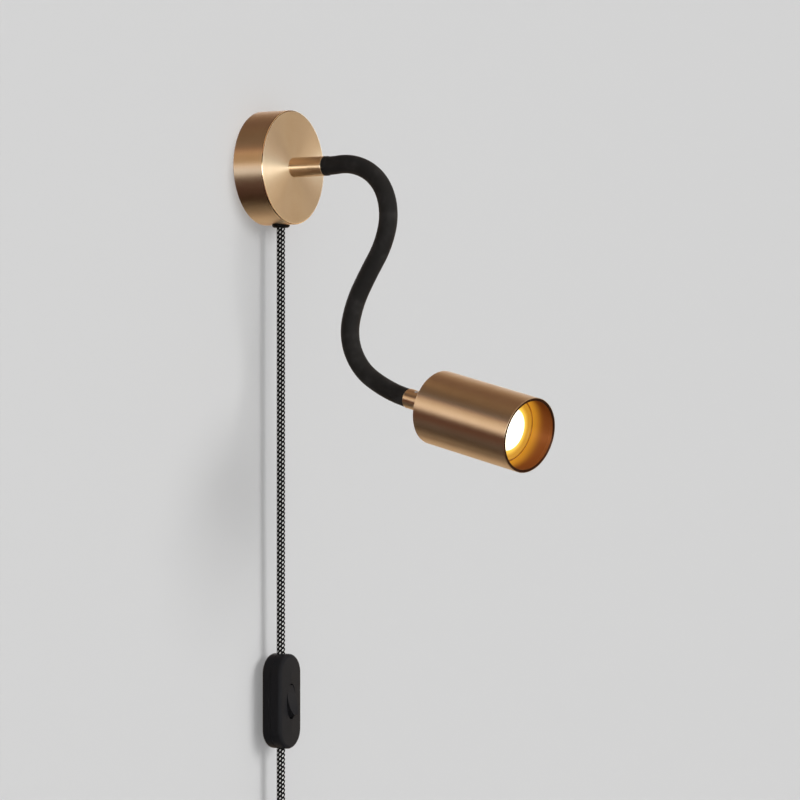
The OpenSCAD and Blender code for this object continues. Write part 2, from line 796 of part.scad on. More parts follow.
module switch_bore() {
  rotate([90, 0, 0]) cylinder(r = switch_bore_r, h = switch_l + 2 * cut, center = true);
}

function oval(w, l) = [for (a = [0:10:350]) [w / 2 * cos(a), l / 2 * sin(a)]];

function boss_places() = [[boss_x, boss_y], [-boss_x, -boss_y]];

module switch_front_housing() {
  half_w = switch_w / 2;
  face_under = switch_front - switch_wall;
  cheek_x = rocker_w / 2 + rocker_gap + 0.2;
  color(black_plastic) at_switch() difference() {
    union() {
      difference() {
        pill(pill_half(half_w, switch_front, switch_edge_r, switch_crown, seam_cut), switch_l);
        translate([0, 0, -cut / 100]) pill(pill_half(half_w - switch_wall, face_under, 1, switch_crown),
          switch_l - 2 * switch_wall);
      }
      for (s = [-1, 1]) translate([s * (cheek_x + cheek_w / 2) - cheek_w / 2, -4, pivot_z - 3])
        cube([cheek_w, 8, face_under - pivot_z + 3.2]);
      for (p = boss_places()) translate([p.x, p.y, 0]) cylinder(r = boss_r, h = face_under + 0.2);
    }
    translate([0, 0, -cut]) linear_extrude(2 * switch_front)
      polygon(oval(rocker_w + 2 * rocker_gap, rocker_l + 2 * rocker_end_gap));
    rotate([0, 90, 0]) translate([-pivot_z, 0, 0])
      cylinder(r = pivot_pin_r + screw_fit, h = 2 * (cheek_x + cheek_w) + cut, center = true);
    for (p = boss_places()) translate([p.x, p.y, -cut])
      cylinder(r = m3_r + screw_fit, h = boss_screw_l + 3 * cut);
    switch_bore();
  }
}

module switch_back_housing() {
  half_w = switch_w / 2;
  floor_in = switch_back - switch_wall;
  color(black_plastic) at_switch() mirror([0, 0, 1]) difference() {
    union() {
      difference() {
        pill(pill_half(half_w, switch_back, switch_edge_r, 0, seam_cut), switch_l);
        translate([0, 0, -cut / 100]) pill(pill_half(half_w - switch_wall, floor_in, 1, 0),
          switch_l - 2 * switch_wall);
      }
      for (p = boss_places()) translate([p.x, p.y, 0]) cylinder(r = boss_r + 0.8, h = floor_in + 0.2);
    }
    for (p = boss_places()) translate([p.x, p.y, -cut]) {
      cylinder(r = m3_r + screw_fit, h = switch_back + 2 * cut);
      translate([0, 0, switch_back - screw_sunk + cut])
        cylinder(r = m3_head_r + seat_fit, h = screw_sunk + cut);
    }
    switch_bore();
  }
}

module switch_screws() {
  color(steel) at_switch() mirror([0, 0, 1]) for (p = boss_places())
    translate([p.x, p.y, switch_back - screw_sunk]) pan_screw(switch_back - screw_sunk + boss_screw_l);
}

// Two clamp contacts on the floor of the rear half, each with a spring blade under the rocker
module switch_contacts() {
  sheet = 0.8;
  plate_w = 6;
  plate_from = 10;
  plate_to = 20;
  barrel_y = 16;
  barrel_r = 2.6;
  barrel_h = 3;
  blade_w = 4;
  blade_from = 3;
  blade_h = 4.4;
  low = switch_wall - switch_back + screw_fit;
  color(brass) at_switch() for (side = [0, 180]) rotate([0, 0, side]) {
    translate([-plate_w / 2, plate_from, low]) cube([plate_w, plate_to - plate_from, sheet]);
    translate([0, barrel_y, low + sheet / 2]) difference() {
      cylinder(r = barrel_r, h = barrel_h);
      translate([0, 0, sheet]) cylinder(r = barrel_r / 2, h = barrel_h);
    }
    translate([-blade_w / 2, blade_from, low]) cube([blade_w, plate_from - blade_from + cut, sheet]);
    translate([-blade_w / 2, blade_from, low]) cube([blade_w, sheet, blade_h]);
  }
}

// The rocker's ends are round about its pivot, so that they clear the opening as it tips, and its top is dished
module switch_rocker() {
  top = pivot_deep + rocker_up;
  end_r = rocker_l / 2 + 0.1;
  dish_r = (pow(rocker_l / 2, 2) + pow(rocker_dish, 2)) / (2 * rocker_dish);
  color(black_plastic) at_switch() translate([0, 0, pivot_z]) rotate([-rocker_tilt, 0, 0]) {
    difference() {
      intersection() {
        translate([0, 0, -rocker_deep]) linear_extrude(top + rocker_deep) polygon(oval(rocker_w, rocker_l));
        rotate([0, 90, 0]) cylinder(r = end_r, h = rocker_w + 2 * cut, center = true);
      }
      translate([0, 0, top - rocker_dish + dish_r]) rotate([0, 90, 0])
        cylinder(r = dish_r, h = rocker_w + 2 * cut, center = true);
    }
    rotate([0, 90, 0]) cylinder(r = pivot_pin_r, h = rocker_w + 2 * pivot_reach, center = true);
  }
}

// Cord, coil and tail

module cord_upper() {
  top = inlet_exit;
  into_switch = switch_z + switch_l / 2 - cord_in_switch;
  heights = concat([top], upper_heights, [into_switch]);
  color(textile) swept_tube([for (z = heights) [0, -cord_out, z]], cord_d / 2);
}

module cord_lower() {
  from_switch = switch_z - switch_l / 2 + cord_in_switch;
  route = concat([[0, -cord_out, from_switch]], [for (p = lower_route) [p.x, -cord_out, p.y]]);
  color(textile) swept_tube(route, cord_d / 2, last = [coil_way.x, 0, coil_way.y]);
}

// The coil winds inwards, climbs to its second layer where it reverses, and winds out again
function coil_point(u) =
  let (r = coil_r + coil_pitch * abs(u), a = coil_start_angle + 360 * u,
       climb = min(1, max(0, 2 * u + 0.5)), layer = climb * climb * (3 - 2 * climb))
  [coil_centre.x + r * cos(a), -cord_out - coil_pitch * layer, coil_centre.y + r * sin(a)];

coil_turns = [for (i = [-turns_in * loop_rings:round(turns_out * loop_rings)]) coil_point(i / loop_rings)];
coil_last = coil_turns[len(coil_turns) - 1];
coil_end = coil_last - [0, 0, cord_d];
coil_route = concat([[coil_begin.x, -cord_out, coil_begin.y]], coil_turns, [coil_end]);

// Least gap between turns, measured between points at least half a turn apart
coil_gap = min([for (i = [0:len(coil_turns) - 1]) each
  [for (j = [i + loop_rings / 2:1:len(coil_turns) - 1]) norm(coil_turns[i] - coil_turns[j])]]) - cord_d;
echo(str("Least gap between turns of the coil: ", coil_gap, " mm"));

module cord_coil() {
  color(textile) swept_tube(coil_route, cord_d / 2, 6, first = [coil_way.x, 0, coil_way.y], last = [0, 0, -1]);
}

// A strap round all the turns, near where the cord comes in
module cord_tie() {
  at = coil_start_angle + 6;
  inner = sqrt(pow(coil_r, 2) - pow(tie_w / 2, 2)) - cord_d / 2 - rest_gap;
  outer = coil_r + coil_pitch * (turns_in + 0.05) + cord_d / 2 + rest_gap;
  deep = cord_d + coil_pitch + 2 * rest_gap;
  mid = (inner + outer) / 2;
  color(black_rubber) translate([coil_centre.x, -cord_out - coil_pitch / 2, coil_centre.y])
    rotate([0, -at, 0]) translate([mid, 0, -tie_w / 2]) difference() {
      rounded_plate(outer - inner + 2 * tie_t, deep + 2 * tie_t, 2.5, tie_w);
      translate([0, 0, -cut]) rounded_plate(outer - inner, deep, 1.5, tie_w + 2 * cut);
    }
}

module cord_tail() {
  bottom = coil_end - [0, 0, tail_l + cord_in_plug];
  color(textile) swept_tube([coil_end, (coil_end + bottom) / 2, bottom], cord_d / 2, last = [0, 0, -1]);
}

// Plug: +Z runs down from the top of its strain relief, and the pins lie side by side along X
module at_plug() {
  translate(coil_end - [0, 0, tail_l]) rotate([180, 0, 0]) children();
}

module plug_body() {
  grooves = 5;
  groove_w = 1.6;
  groove_deep = 0.9;
  groove_from = 3;
  groove_pitch = (relief_l - 4) / grooves;
  face = relief_l + plug_l;
  r = plug_d / 2;
  grip_r = r - 1.5;
  waist_r = r - clip_deep;
  rim_l = 12; // length of the full width behind the face
  rim_slope = 3;
  edge = 0.8;
  shoulder_r = 4.5;
  color(black_plastic) at_plug() difference() {
    rotate_extrude() polygon(concat(
      [[0, 0], [relief_tip_r - edge, 0], [relief_tip_r, edge], [plug_neck_r, relief_l - edge],
       [plug_neck_r + 4, relief_l + 2]],
      arc_points([grip_r - shoulder_r, relief_l + plug_shoulder + 3], shoulder_r, -80, 0, 6),
      [[waist_r, face - rim_l - rim_slope], [r, face - rim_l], [r, face - edge], [r - edge, face], [0, face]]));
    for (i = [0:grooves - 1]) let (z = groove_from + i * groove_pitch) translate([0, 0, z]) difference() {
      cylinder(r = 2 * plug_neck_r, h = groove_w);
      translate([0, 0, -cut])
        cylinder(r = relief_tip_r + (plug_neck_r - relief_tip_r) * z / relief_l - groove_deep,
          h = groove_w + 2 * cut);
    }
    translate([0, 0, -cut]) cylinder(r = cord_d / 2 + cord_fit, h = cord_in_plug + rest_gap + cut);
    for (side = [0, 180]) rotate([0, 0, side]) {
      translate([plug_pin_spacing / 2, 0, face - pin_root])
        cylinder(r = plug_pin_d / 2 - pin_step + screw_fit, h = 2 * pin_root);
      translate([-clip_w / 2 - seat_fit, r - clip_deep, face - clip_recess_l])
        cube([clip_w + 2 * seat_fit, clip_deep + cut, clip_recess_l + cut]);
      translate([r - guide_deep, -guide_w / 2, face - guide_l])
        cube([guide_deep + cut, guide_w, guide_l + cut]);
    }
  }
}

module plug_pins() {
  r = plug_pin_d / 2;
  tip = 1.6;
  color(steel) at_plug() for (s = [-1, 1]) translate([s * plug_pin_spacing / 2, 0, relief_l + plug_l])
    rotate_extrude() polygon([[0, -pin_root], [r - pin_step, -pin_root], [r - pin_step, 0], [r, 0],
      [r, plug_pin_l - tip], [r - 1, plug_pin_l], [0, plug_pin_l]]);
}

// A sprung strip on each side: its foot, where it bends out, where it bulges and its lip
module plug_earth_clips() {
  face = relief_l + plug_l;
  r = plug_d / 2;
  root_r = r - clip_deep + screw_fit;
  foot = face - 20;
  bend = face - 12;
  bulge = face - 8;
  lip = face - 1;
  strip = 0.9;
  color(brass) at_plug() for (side = [0, 180]) rotate([0, 0, side])
    rotate([90, 0, 90]) linear_extrude(clip_w, center = true) polygon([
      [root_r, foot], [root_r + strip, foot], [r - 1, bend], [r - 0.4, bulge], [r - 1.2, lip],
      [r - 1.2 - strip, lip], [r - 0.4 - strip, bulge], [r - 1 - strip, bend], [root_r, foot + 3]]);
}

wall_bracket();
bracket_nuts();
hollow_nipple();
canopy();
stem();
cord_grommet();
cord_clamp();
bracket_screws();
terminal_block();
terminal_contacts();
canopy_wires();
cord_inlet();
for (k = every_length) gooseneck_core(k);
for (k = every_length) arm_sleeve(k);
head_ferrule();
ferrule_grub_screw();
head_shell();
head_nipple();
head_nut();
holder_bracket();
lamp_holder();
holder_screws();
lamp_base();
lamp_reflector();
lamp_lens();
lamp_pins();
switch_back_housing();
switch_front_housing();
switch_screws();
switch_contacts();
switch_rocker();
cord_upper();
cord_lower();
cord_coil();
cord_tie();
cord_tail();
plug_body();
plug_pins();
plug_earth_clips();
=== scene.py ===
import json
import math

import bpy
import numpy as np
from mathutils import Matrix, Vector


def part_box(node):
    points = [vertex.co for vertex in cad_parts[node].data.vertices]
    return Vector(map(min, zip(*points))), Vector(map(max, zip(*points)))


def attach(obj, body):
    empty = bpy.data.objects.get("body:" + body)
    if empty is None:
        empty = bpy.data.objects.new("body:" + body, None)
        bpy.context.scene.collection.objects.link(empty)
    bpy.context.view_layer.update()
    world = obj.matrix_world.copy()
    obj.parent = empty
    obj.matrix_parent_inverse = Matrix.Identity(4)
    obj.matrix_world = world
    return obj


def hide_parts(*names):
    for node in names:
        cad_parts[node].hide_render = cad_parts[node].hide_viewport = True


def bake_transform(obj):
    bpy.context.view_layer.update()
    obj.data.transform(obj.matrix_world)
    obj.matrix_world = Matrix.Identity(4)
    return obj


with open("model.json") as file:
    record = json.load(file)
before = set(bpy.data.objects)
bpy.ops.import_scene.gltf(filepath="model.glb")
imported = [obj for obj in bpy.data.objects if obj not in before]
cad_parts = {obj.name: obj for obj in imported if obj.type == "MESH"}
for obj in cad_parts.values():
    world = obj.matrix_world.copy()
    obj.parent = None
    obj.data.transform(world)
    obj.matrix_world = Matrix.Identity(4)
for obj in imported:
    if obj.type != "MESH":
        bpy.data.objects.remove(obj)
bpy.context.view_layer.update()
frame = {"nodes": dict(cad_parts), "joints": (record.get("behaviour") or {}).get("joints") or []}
joints = {j["name"]: j for j in frame["joints"]}
mm = 0.001
print("frame loaded:", len(frame["nodes"]), "nodes")


# camera at the photograph's viewing angle

photoView = {
    "place": (-2.0066, -1.3167, -0.1833),
    "towards": (0.8597, 0.5108, 0.0),
    "lens": 136.1,
    "sensor": 36.0,
}


def makeCamera():
    data = bpy.data.cameras.new("photoCamera")
    data.lens = photoView["lens"]
    data.sensor_width = photoView["sensor"]
    data.sensor_fit = "HORIZONTAL"
    camera = bpy.data.objects.new("photoCamera", data)
    camera.location = photoView["place"]
    camera.rotation_euler = Vector(photoView["towards"]).to_track_quat("-Z", "Y").to_euler()
    bpy.context.scene.collection.objects.link(camera)
    bpy.context.scene.camera = camera


makeCamera()
print("camera placed")


# shader writing: sums on a Value add Math nodes, and Sheet.add makes every other node

class Value:
    def __init__(self, sheet, socket):
        self.sheet = sheet
        self.socket = socket

    def math(self, operation, first, second):
        return self.sheet.add("Math", {"operation": operation}, {0: first, 1: second})

    def __add__(self, other):
        return self.math("ADD", self, other)

    def __radd__(self, other):
        return self.math("ADD", other, self)

    def __sub__(self, other):
        return self.math("SUBTRACT", self, other)

    def __rsub__(self, other):
        return self.math("SUBTRACT", other, self)

    def __mul__(self, other):
        return self.math("MULTIPLY", self, other)

    def __rmul__(self, other):
        return self.math("MULTIPLY", other, self)

    def __truediv__(self, other):
        return self.math("DIVIDE", self, other)

    def __pow__(self, other):
        return self.math("POWER", self, other)


class Sheet:
    def __init__(self, tree):
        self.tree = tree
        tree.nodes.clear()

    def add(self, kind, settings=None, inputs=None, output=0):
        node = self.tree.nodes.new("ShaderNode" + kind)
        for key, value in (settings or {}).items():
            if key == "stops":
                self.setStops(node.color_ramp, value)
            else:
                setattr(node, key, value)
        for key, value in (inputs or {}).items():
            if isinstance(value, Value):
                self.tree.links.new(value.socket, node.inputs[key])
            else:
                node.inputs[key].default_value = value
        return Value(self, node.outputs[output])

    def setStops(self, ramp, stops):
        while len(ramp.elements) < len(stops):
            ramp.elements.new(1.0)
        for element, (place, colour) in zip(ramp.elements, stops):
            element.position = place
            element.color = (*colour, 1.0)

    def one(self, operation, value, second=0.0):
        return self.add("Math", {"operation": operation}, {0: value, 1: second})

    def smooth(self, value, low, high):
        return self.add("MapRange", {"interpolation_type": "SMOOTHSTEP"},
                        {"Value": value, "From Min": low, "From Max": high})

    def colours(self, factor, first, second, mode="MIX"):
        both = {0: factor}
        for key, colour in ((6, first), (7, second)):
            both[key] = colour if isinstance(colour, Value) else (*colour, 1.0)
        return self.add("Mix", {"data_type": "RGBA", "blend_type": mode}, both, 2)

    def fromAxis(self, x, y):
        return self.one("SQRT", x ** 2.0 + y ** 2.0)

    def parts(self, vector):
        node = self.tree.nodes.new("ShaderNodeSeparateXYZ")
        self.tree.links.new(vector.socket, node.inputs[0])
        return [Value(self, socket) for socket in node.outputs]

    def joined(self, x, y, z):
        return self.add("CombineXYZ", None, {0: x, 1: y, 2: z})

    def noise(self, vector, scale, detail=2.0, roughness=0.5):
        return self.add("TexNoise", None,
                        {"Vector": vector, "Scale": scale, "Detail": detail, "Roughness": roughness})

    def bump(self, height, distance, strength=1.0, normal=None):
        inputs = {"Height": height, "Distance": distance, "Strength": strength}
        if normal is not None:
            inputs["Normal"] = normal
        return self.add("Bump", None, inputs)

    # object coordinates in millimetres
    def bodyPlace(self):
        place = self.add("TexCoord", None, None, 3)
        return self.add("VectorMath", {"operation": "SCALE"}, {0: place, "Scale": 1000.0})

    # how far round a swept or turned piece, and how far along it in millimetres
    def skinPlace(self):
        around, along, _ = self.parts(self.add("UVMap", {"uv_map": "skin"}))
        return around, along * 1000.0

    # the skin rolled into a tube of that radius in millimetres, so that no seam shows
    def rolledPlace(self, radius):
        around, along = self.skinPlace()
        turn = around * math.tau
        return self.joined(self.one("COSINE", turn) * radius, self.one("SINE", turn) * radius, along)

    def finish(self, shader, kind="OutputMaterial"):
        node = self.tree.nodes.new("ShaderNode" + kind)
        self.tree.links.new(shader.socket, node.inputs["Surface"])


def newMaterial(name):
    material = bpy.data.materials.new(name)
    material.use_nodes = True
    return material, Sheet(material.node_tree)


def solidFinish(name, colour, inputs, build):
    # build gets the sheet and colour and returns the inputs that change over the surface
    material, sheet = newMaterial(name)
    material.diffuse_color = (*colour, 1.0)
    shader = sheet.add("BsdfPrincipled", None, {**inputs, **build(sheet, colour)})
    sheet.finish(shader)
    return material


# mesh making

def unit(vector):
    return vector / np.linalg.norm(vector, axis=-1, keepdims=True)


def newPiece(name, points, faces, material, skin=None):
    mesh = bpy.data.meshes.new(name)
    mesh.from_pydata([tuple(p) for p in points], [], faces)
    if skin is not None:
        layer = mesh.uv_layers.new(name="skin")
        layer.data.foreach_set("uv", np.asarray(skin, np.float32).ravel())
    mesh.polygons.foreach_set("use_smooth", [True] * len(mesh.polygons))
    mesh.materials.append(material)
    piece = bpy.data.objects.new(name, mesh)
    bpy.context.scene.collection.objects.link(piece)
    return piece


def sharpen(piece, degrees=32):
    piece.data.set_sharp_from_angle(angle=math.radians(degrees))


def gridFaces(rings, sides, closedRings=False):
    # quads between neighbouring rings, with their corners as (ring, side) pairs
    corners = []
    for i in range(rings if closedRings else rings - 1):
        for j in range(sides):
            corners.append([(i, j), (i, j + 1), (i + 1, j + 1), (i + 1, j)])
    return corners


def tubeMesh(name, path, radius, sides, material, startAngle=0.0, relief=None, alongStart=0.0):
    # a capped tube round path; relief gives how far each point stands out at (turn, distance along)
    path = np.asarray(path, float)
    steps = np.diff(path, axis=0)
    along = alongStart + np.concatenate([[0], np.cumsum(np.linalg.norm(steps, axis=1))])
    way = unit(np.vstack([steps[:1], unit(steps[1:]) + unit(steps[:-1]), steps[-1:]]))
    side = unit(np.cross(way, [0.0, 1.0, 0.0]))
    over = np.cross(way, side)
    turn = np.arange(sides) / sides
    angle = math.radians(startAngle) + math.tau * turn
    out = np.cos(angle)[None, :, None] * side[:, None] + np.sin(angle)[None, :, None] * over[:, None]
    reach = np.full((len(path), sides), radius)
    if relief is not None:
        reach = reach + relief(turn[None, :], along[:, None])
    points = (path[:, None] + out * reach[..., None]).reshape(-1, 3)
    corners = gridFaces(len(path), sides)
    faces = [[i * sides + j % sides for i, j in quad] for quad in corners]
    skin = [(j / sides, along[i]) for quad in corners for i, j in quad]
    last = (len(path) - 1) * sides
    faces.append(list(range(sides))[::-1])
    faces.append([last + j for j in range(sides)])
    skin += [(0.0, along[0])] * sides + [(0.0, along[-1])] * sides
    piece = newPiece(name, points, faces, material, skin)
    sharpen(piece, 60)
    return piece


def curveThrough(points, step):
    # a smooth curve through given points, with points about step apart
    points = np.asarray(points, float)
    before = np.vstack([2 * points[0] - points[1], points[:-2]])
    after = np.vstack([points[2:], 2 * points[-1] - points[-2]])
    made = [points[:1]]
    for p0, p1, p2, p3 in zip(before, points[:-1], points[1:], after):
        count = max(1, round(np.linalg.norm(p2 - p1) / step))
        t = (np.arange(1, count + 1) / count)[:, None]
        bend1, bend2 = (p2 - p0) / 2, (p3 - p1) / 2
        span = np.linalg.norm(p2 - p1)
        bend1 = bend1 * span / max(np.linalg.norm(bend1), 1e-9)
        bend2 = bend2 * span / max(np.linalg.norm(bend2), 1e-9)
        made.append((2 * t**3 - 3 * t**2 + 1) * p1 + (t**3 - 2 * t**2 + t) * bend1
                    + (3 * t**2 - 2 * t**3) * p2 + (t**3 - t**2) * bend2)
    return np.vstack(made)


def softProfile(corners, steps=5, hold=0.15 * mm):
    # corners are (radius, height, rounding); each rounded one becomes an arc between two holding points
    made = []
    count = len(corners)
    for i, (x, y, rounding) in enumerate(corners):
        here = np.array([x, y])
        if rounding == 0:
            made.append(here)
            continue
        back = np.array(corners[i - 1][:2]) - here
        ahead = np.array(corners[(i + 1) % count][:2]) - here
        backWay, aheadWay = unit(back), unit(ahead)
        half = math.acos(max(-1.0, min(1.0, float(backWay @ aheadWay)))) / 2
        reach = rounding / math.tan(half)
        centre = here + unit(backWay + aheadWay) * rounding / math.sin(half)
        start, end = here + backWay * reach, here + aheadWay * reach
        if np.linalg.norm(back) > reach + 2 * hold:
            made.append(start + backWay * hold)
        for k in range(steps + 1):
            blend = start + (end - start) * k / steps
            made.append(centre + unit(blend - centre) * rounding)
        if np.linalg.norm(ahead) > reach + 2 * hold:
            made.append(end + aheadWay * hold)
    return made


def spunPiece(name, profile, place, segments, material, closed=True):
    # profile is turned round local Z; place is the matrix from the piece's own axes to the frame
    profile = [(max(0.0, float(r)), float(h)) for r, h in profile]
    loop = profile + profile[:1] if closed else profile
    lengths = [0.0]
    for (r0, h0), (r1, h1) in zip(loop, loop[1:]):
        lengths.append(lengths[-1] + math.hypot(r1 - r0, h1 - h0))
    points, rows = [], []
    for r, h in profile:
        if r == 0:
            rows.append([len(points)] * segments)
            points.append((0, 0, h))
        else:
            rows.append([len(points) + j for j in range(segments)])
            points += [(r * math.cos(math.tau * j / segments), r * math.sin(math.tau * j / segments), h)
                       for j in range(segments)]
    faces, skin = [], []
    for i in range(len(loop) - 1):
        lower, upper = rows[i], rows[(i + 1) % len(profile)]
        for j in range(segments):
            k = (j + 1) % segments
            quad = [(lower[j], j, i), (lower[k], j + 1, i), (upper[k], j + 1, i + 1), (upper[j], j, i + 1)]
            face = []
            for corner in quad:
                if corner[0] not in [c[0] for c in face]:
                    face.append(corner)
            if len(face) > 2:
                faces.append([c[0] for c in face])
                skin += [(c[1] / segments, lengths[c[2]]) for c in face]
    piece = newPiece(name, points, faces, material, skin)
    piece.matrix_world = place
    sharpen(piece)
    return piece


def cutWith(piece, cutter):
    # takes the cutter's shape out of the piece and removes the cutter
    modifier = piece.modifiers.new("cut", "BOOLEAN")
    modifier.operation = "DIFFERENCE"
    modifier.object = cutter
    modifier.solver = "EXACT"
    bpy.context.view_layer.update()
    shaped = piece.evaluated_get(bpy.context.evaluated_depsgraph_get())
    mesh = bpy.data.meshes.new_from_object(shaped)
    piece.modifiers.clear()
    piece.data = mesh
    bpy.data.objects.remove(cutter)
    sharpen(piece)


def drill(piece, name, radius, depth, place, segments):
    rod = [(0, 0), (radius, 0), (radius, depth), (0, depth)]
    cutWith(piece, spunPiece(name, rod, place, segments, piece.data.materials[0], False))


def axisPlace(origin, direction):
    # own axes with Z along direction and X level
    z = Vector(direction).normalized()
    x = Vector((0, 0, 1)).cross(z).normalized()
    y = z.cross(x)
    return Matrix.Translation(Vector(origin)) @ Matrix((x, y, z)).transposed().to_4x4()


def stickOn(piece, body, slot, *nodes):
    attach(piece, body)
    if nodes:
        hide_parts(*nodes)
    return piece


# textile cord: nine columns of white picks on black round the cord, each a third of a pick lower

braid = {
    "diameter": 6.6 * mm,
    "columns": 9,
    "pick": 3.46 * mm,
    "pickWidth": 0.66 * mm,
    "pickLength": 0.87 * mm,
    "slant": 0.36,
    "shift": 1.9 * mm,
    "relief": 0.16 * mm,
    "firstColumn": 18.3,
    "white": (0.90, 0.89, 0.87),
    # how dark the white picks go between their threads: painted shade
    "shadedWhite": 0.62,
    "black": (0.0055, 0.0055, 0.006),
    "grey": (0.026, 0.0255, 0.0255),
    "sides": 45,
    "coilSides": 27,
}


def braidHeight(turn, along):
    # rounded picks, white ones and the black ones between them, over a core of smaller diameter
    width = math.pi * braid["diameter"] / braid["columns"]
    column = np.floor(turn * braid["columns"] + 1e-6)
    x = (turn * braid["columns"] - column - 0.5) * width
    rise = (along - braid["shift"]) / braid["pick"] + column / 3
    y = (rise - np.floor(rise) - 0.5) * braid["pick"]
    x = x - braid["slant"] * y
    white = 1 - (x / braid["pickWidth"]) ** 2 - (y / braid["pickLength"]) ** 2
    far = braid["pick"] / 2 - np.abs(y)
    black = 0.8 - (x / braid["pickWidth"]) ** 2 - (far / (0.7 * braid["pickLength"])) ** 2
    return braid["relief"] * (np.clip(np.maximum(white, black), 0, 1) ** 0.5 - 0.4)


def braidCloth():
    def build(sheet, colour):
        around, along = sheet.skinPlace()
        pick, wide, long = (braid[k] / mm for k in ("pick", "pickWidth", "pickLength"))
        width = math.pi * braid["diameter"] / mm / braid["columns"]
        place = around * braid["columns"]
        column = sheet.one("FLOOR", place + 0.0001)
        rise = (along - braid["shift"] / mm) / pick + column / 3
        y = (sheet.one("FRACT", rise) - 0.5) * pick
        x = (place - column - 0.5) * width - y * braid["slant"]
        white = (x / wide) ** 2.0 + (y / long) ** 2.0
        rolled = sheet.rolledPlace(braid["diameter"] / 2 / mm)
        fray = sheet.noise(rolled, 4.0, 3.0)
        mask = sheet.smooth(white + (fray - 0.5) * 0.5, 1.08, 0.82)
        threads = sheet.one("SINE", (x - y * 0.25) * 26.0) * 0.5 + 0.5
        cross = sheet.one("SINE", (x * 0.8 + y * 0.6) * 22.0) * 0.5 + 0.5
        shade = sheet.noise(rolled, 0.35, 2.0)
        dark = sheet.colours(cross * 0.7 * shade, colour, braid["grey"])
        # the white picks are darker between their threads: painted shade
        shaded = tuple(braid["shadedWhite"] * c for c in braid["white"])
        pale = sheet.colours(threads * 0.35, braid["white"], shaded)
        strands = threads * mask + cross * (1 - mask)
        return {
            "Base Color": sheet.colours(mask, dark, pale),
            "Roughness": 0.82 - mask * 0.1,
            "Normal": sheet.bump(strands + fray * 0.6, 0.05 * mm, 0.55),
        }

    return solidFinish("braidCloth", braid["black"], {"Specular IOR Level": 0.15}, build)


cordRoute = {
    "out": -15.0,
    "inletTop": -14.0,
    "upper": [-60, -76, -92, -110, -128, -146, -164, -182, -200, -218, -236, -254, -272, -290, -308,
              -326, -344, -362],
    "lower": [(0, -462), (0, -475), (0, -490), (0, -505), (-0.4, -509.8), (-1.7, -514.5),
              (-3.8, -519), (-6.6, -523), (-10, -526.4), (-14, -529.2)],
    "coilRadius": 27.5,
    "coilPitch": 7.1,
    "coilStart": 120.0,
    "turnsIn": 3,
    "turnsOut": 3 + 1 / 6,
    "loopPoints": 48,
    "leaving": 30.0,
    "straight": 12.0,
    "tail": 25.0,
    "intoPlug": 5.0,
}


def coilTurns():
    # a flat spiral inwards, then outwards again on a layer in front of it
    r = cordRoute
    diameter = braid["diameter"] / mm
    leave = math.radians(r["leaving"])
    first = np.array(r["lower"][-1]) - diameter * np.array([math.cos(leave), math.sin(leave)])
    start = math.radians(r["coilStart"])
    outside = r["coilRadius"] + r["coilPitch"] * r["turnsIn"]
    centre = first - outside * np.array([math.cos(start), math.sin(start)])
    turns = []
    count = round((r["turnsIn"] + r["turnsOut"]) * r["loopPoints"])
    for i in range(count + 1):
        u = i / r["loopPoints"] - r["turnsIn"]
        radius = r["coilRadius"] + r["coilPitch"] * abs(u)
        angle = start + math.tau * u
        climb = min(1.0, max(0.0, 2 * u + 0.5))
        layer = climb * climb * (3 - 2 * climb)
        turns.append((centre[0] + radius * math.cos(angle), r["out"] - r["coilPitch"] * layer,
                      centre[1] + radius * math.sin(angle)))
    return turns


def cordPaths():
    r = cordRoute
    low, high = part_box("cord_upper")
    upper = [(0, r["out"], z) for z in [high.z / mm, *r["upper"], low.z / mm]]
    lower = [(0, r["out"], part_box("cord_lower")[1].z / mm)] + [(x, r["out"], z) for x, z in r["lower"]]
    turns = coilTurns()
    down = np.array([0, 0, -1.0])
    coilEnd = np.array(turns[-1]) + braid["diameter"] / mm * down
    plugTop = coilEnd + r["tail"] * down
    tail = [coilEnd, coilEnd + r["straight"] * down, plugTop, plugTop + r["intoPlug"] * down]
    return np.array(upper) * mm, np.array([*lower, *turns, *tail]) * mm


def makeCords():
    cloth = braidCloth()
    upperPath, lowerPath = cordPaths()
    fineUpper = curveThrough(upperPath, braid["pick"] / 8)
    fineLower = curveThrough(lowerPath, braid["pick"] / 4)
    radius, sides = braid["diameter"] / 2, braid["sides"]
    angle = braid["firstColumn"]
    upper = tubeMesh("cordUpper", fineUpper, radius, sides, cloth, angle, braidHeight)
    lower = tubeMesh("cordLower", fineLower, radius, braid["coilSides"], cloth, angle, braidHeight)
    inletTop = np.array([0, cordRoute["out"], cordRoute["inletTop"]]) * mm
    inletPath = curveThrough([inletTop, upperPath[0]], braid["pick"] / 8)
    inletLength = np.linalg.norm(inletTop - upperPath[0])
    inlet = tubeMesh("cordInlet", inletPath, radius, sides, cloth, angle, braidHeight, -inletLength)
    stickOn(inlet, "wall_base", "textile_braid", "cord_inlet")
    stickOn(upper, "wall_base", "textile_braid", "cord_upper")
    stickOn(lower, "wall_base", "textile_braid", "cord_lower", "cord_coil", "cord_tail")
    return upper, lower, fineUpper, fineLower


cordUpper, cordLower, upperLine, lowerLine = makeCords()


def lineLength(line):
    return float(np.linalg.norm(np.diff(line, axis=0), axis=1).sum())


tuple(upperLine[0])
lineLength(upperLine)
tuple(lowerLine[0])
lineLength(lowerLine)
print("cords laid:", round(lineLength(upperLine), 3), "m and", round(lineLength(lowerLine), 3), "m")


# turned brass: canopy, stem, ferrule and head

brass = {
    "colour": (0.95, 0.775, 0.56),
    "deep": (0.90, 0.715, 0.495),
    "roughness": 0.40,
    "anisotropy": 1.0,
    "grain": 7.0,
    "grainSpread": 0.35,
    "cloud": 0.045,
    "speck": 1.1,
    "groove": 0.004 * mm,
}


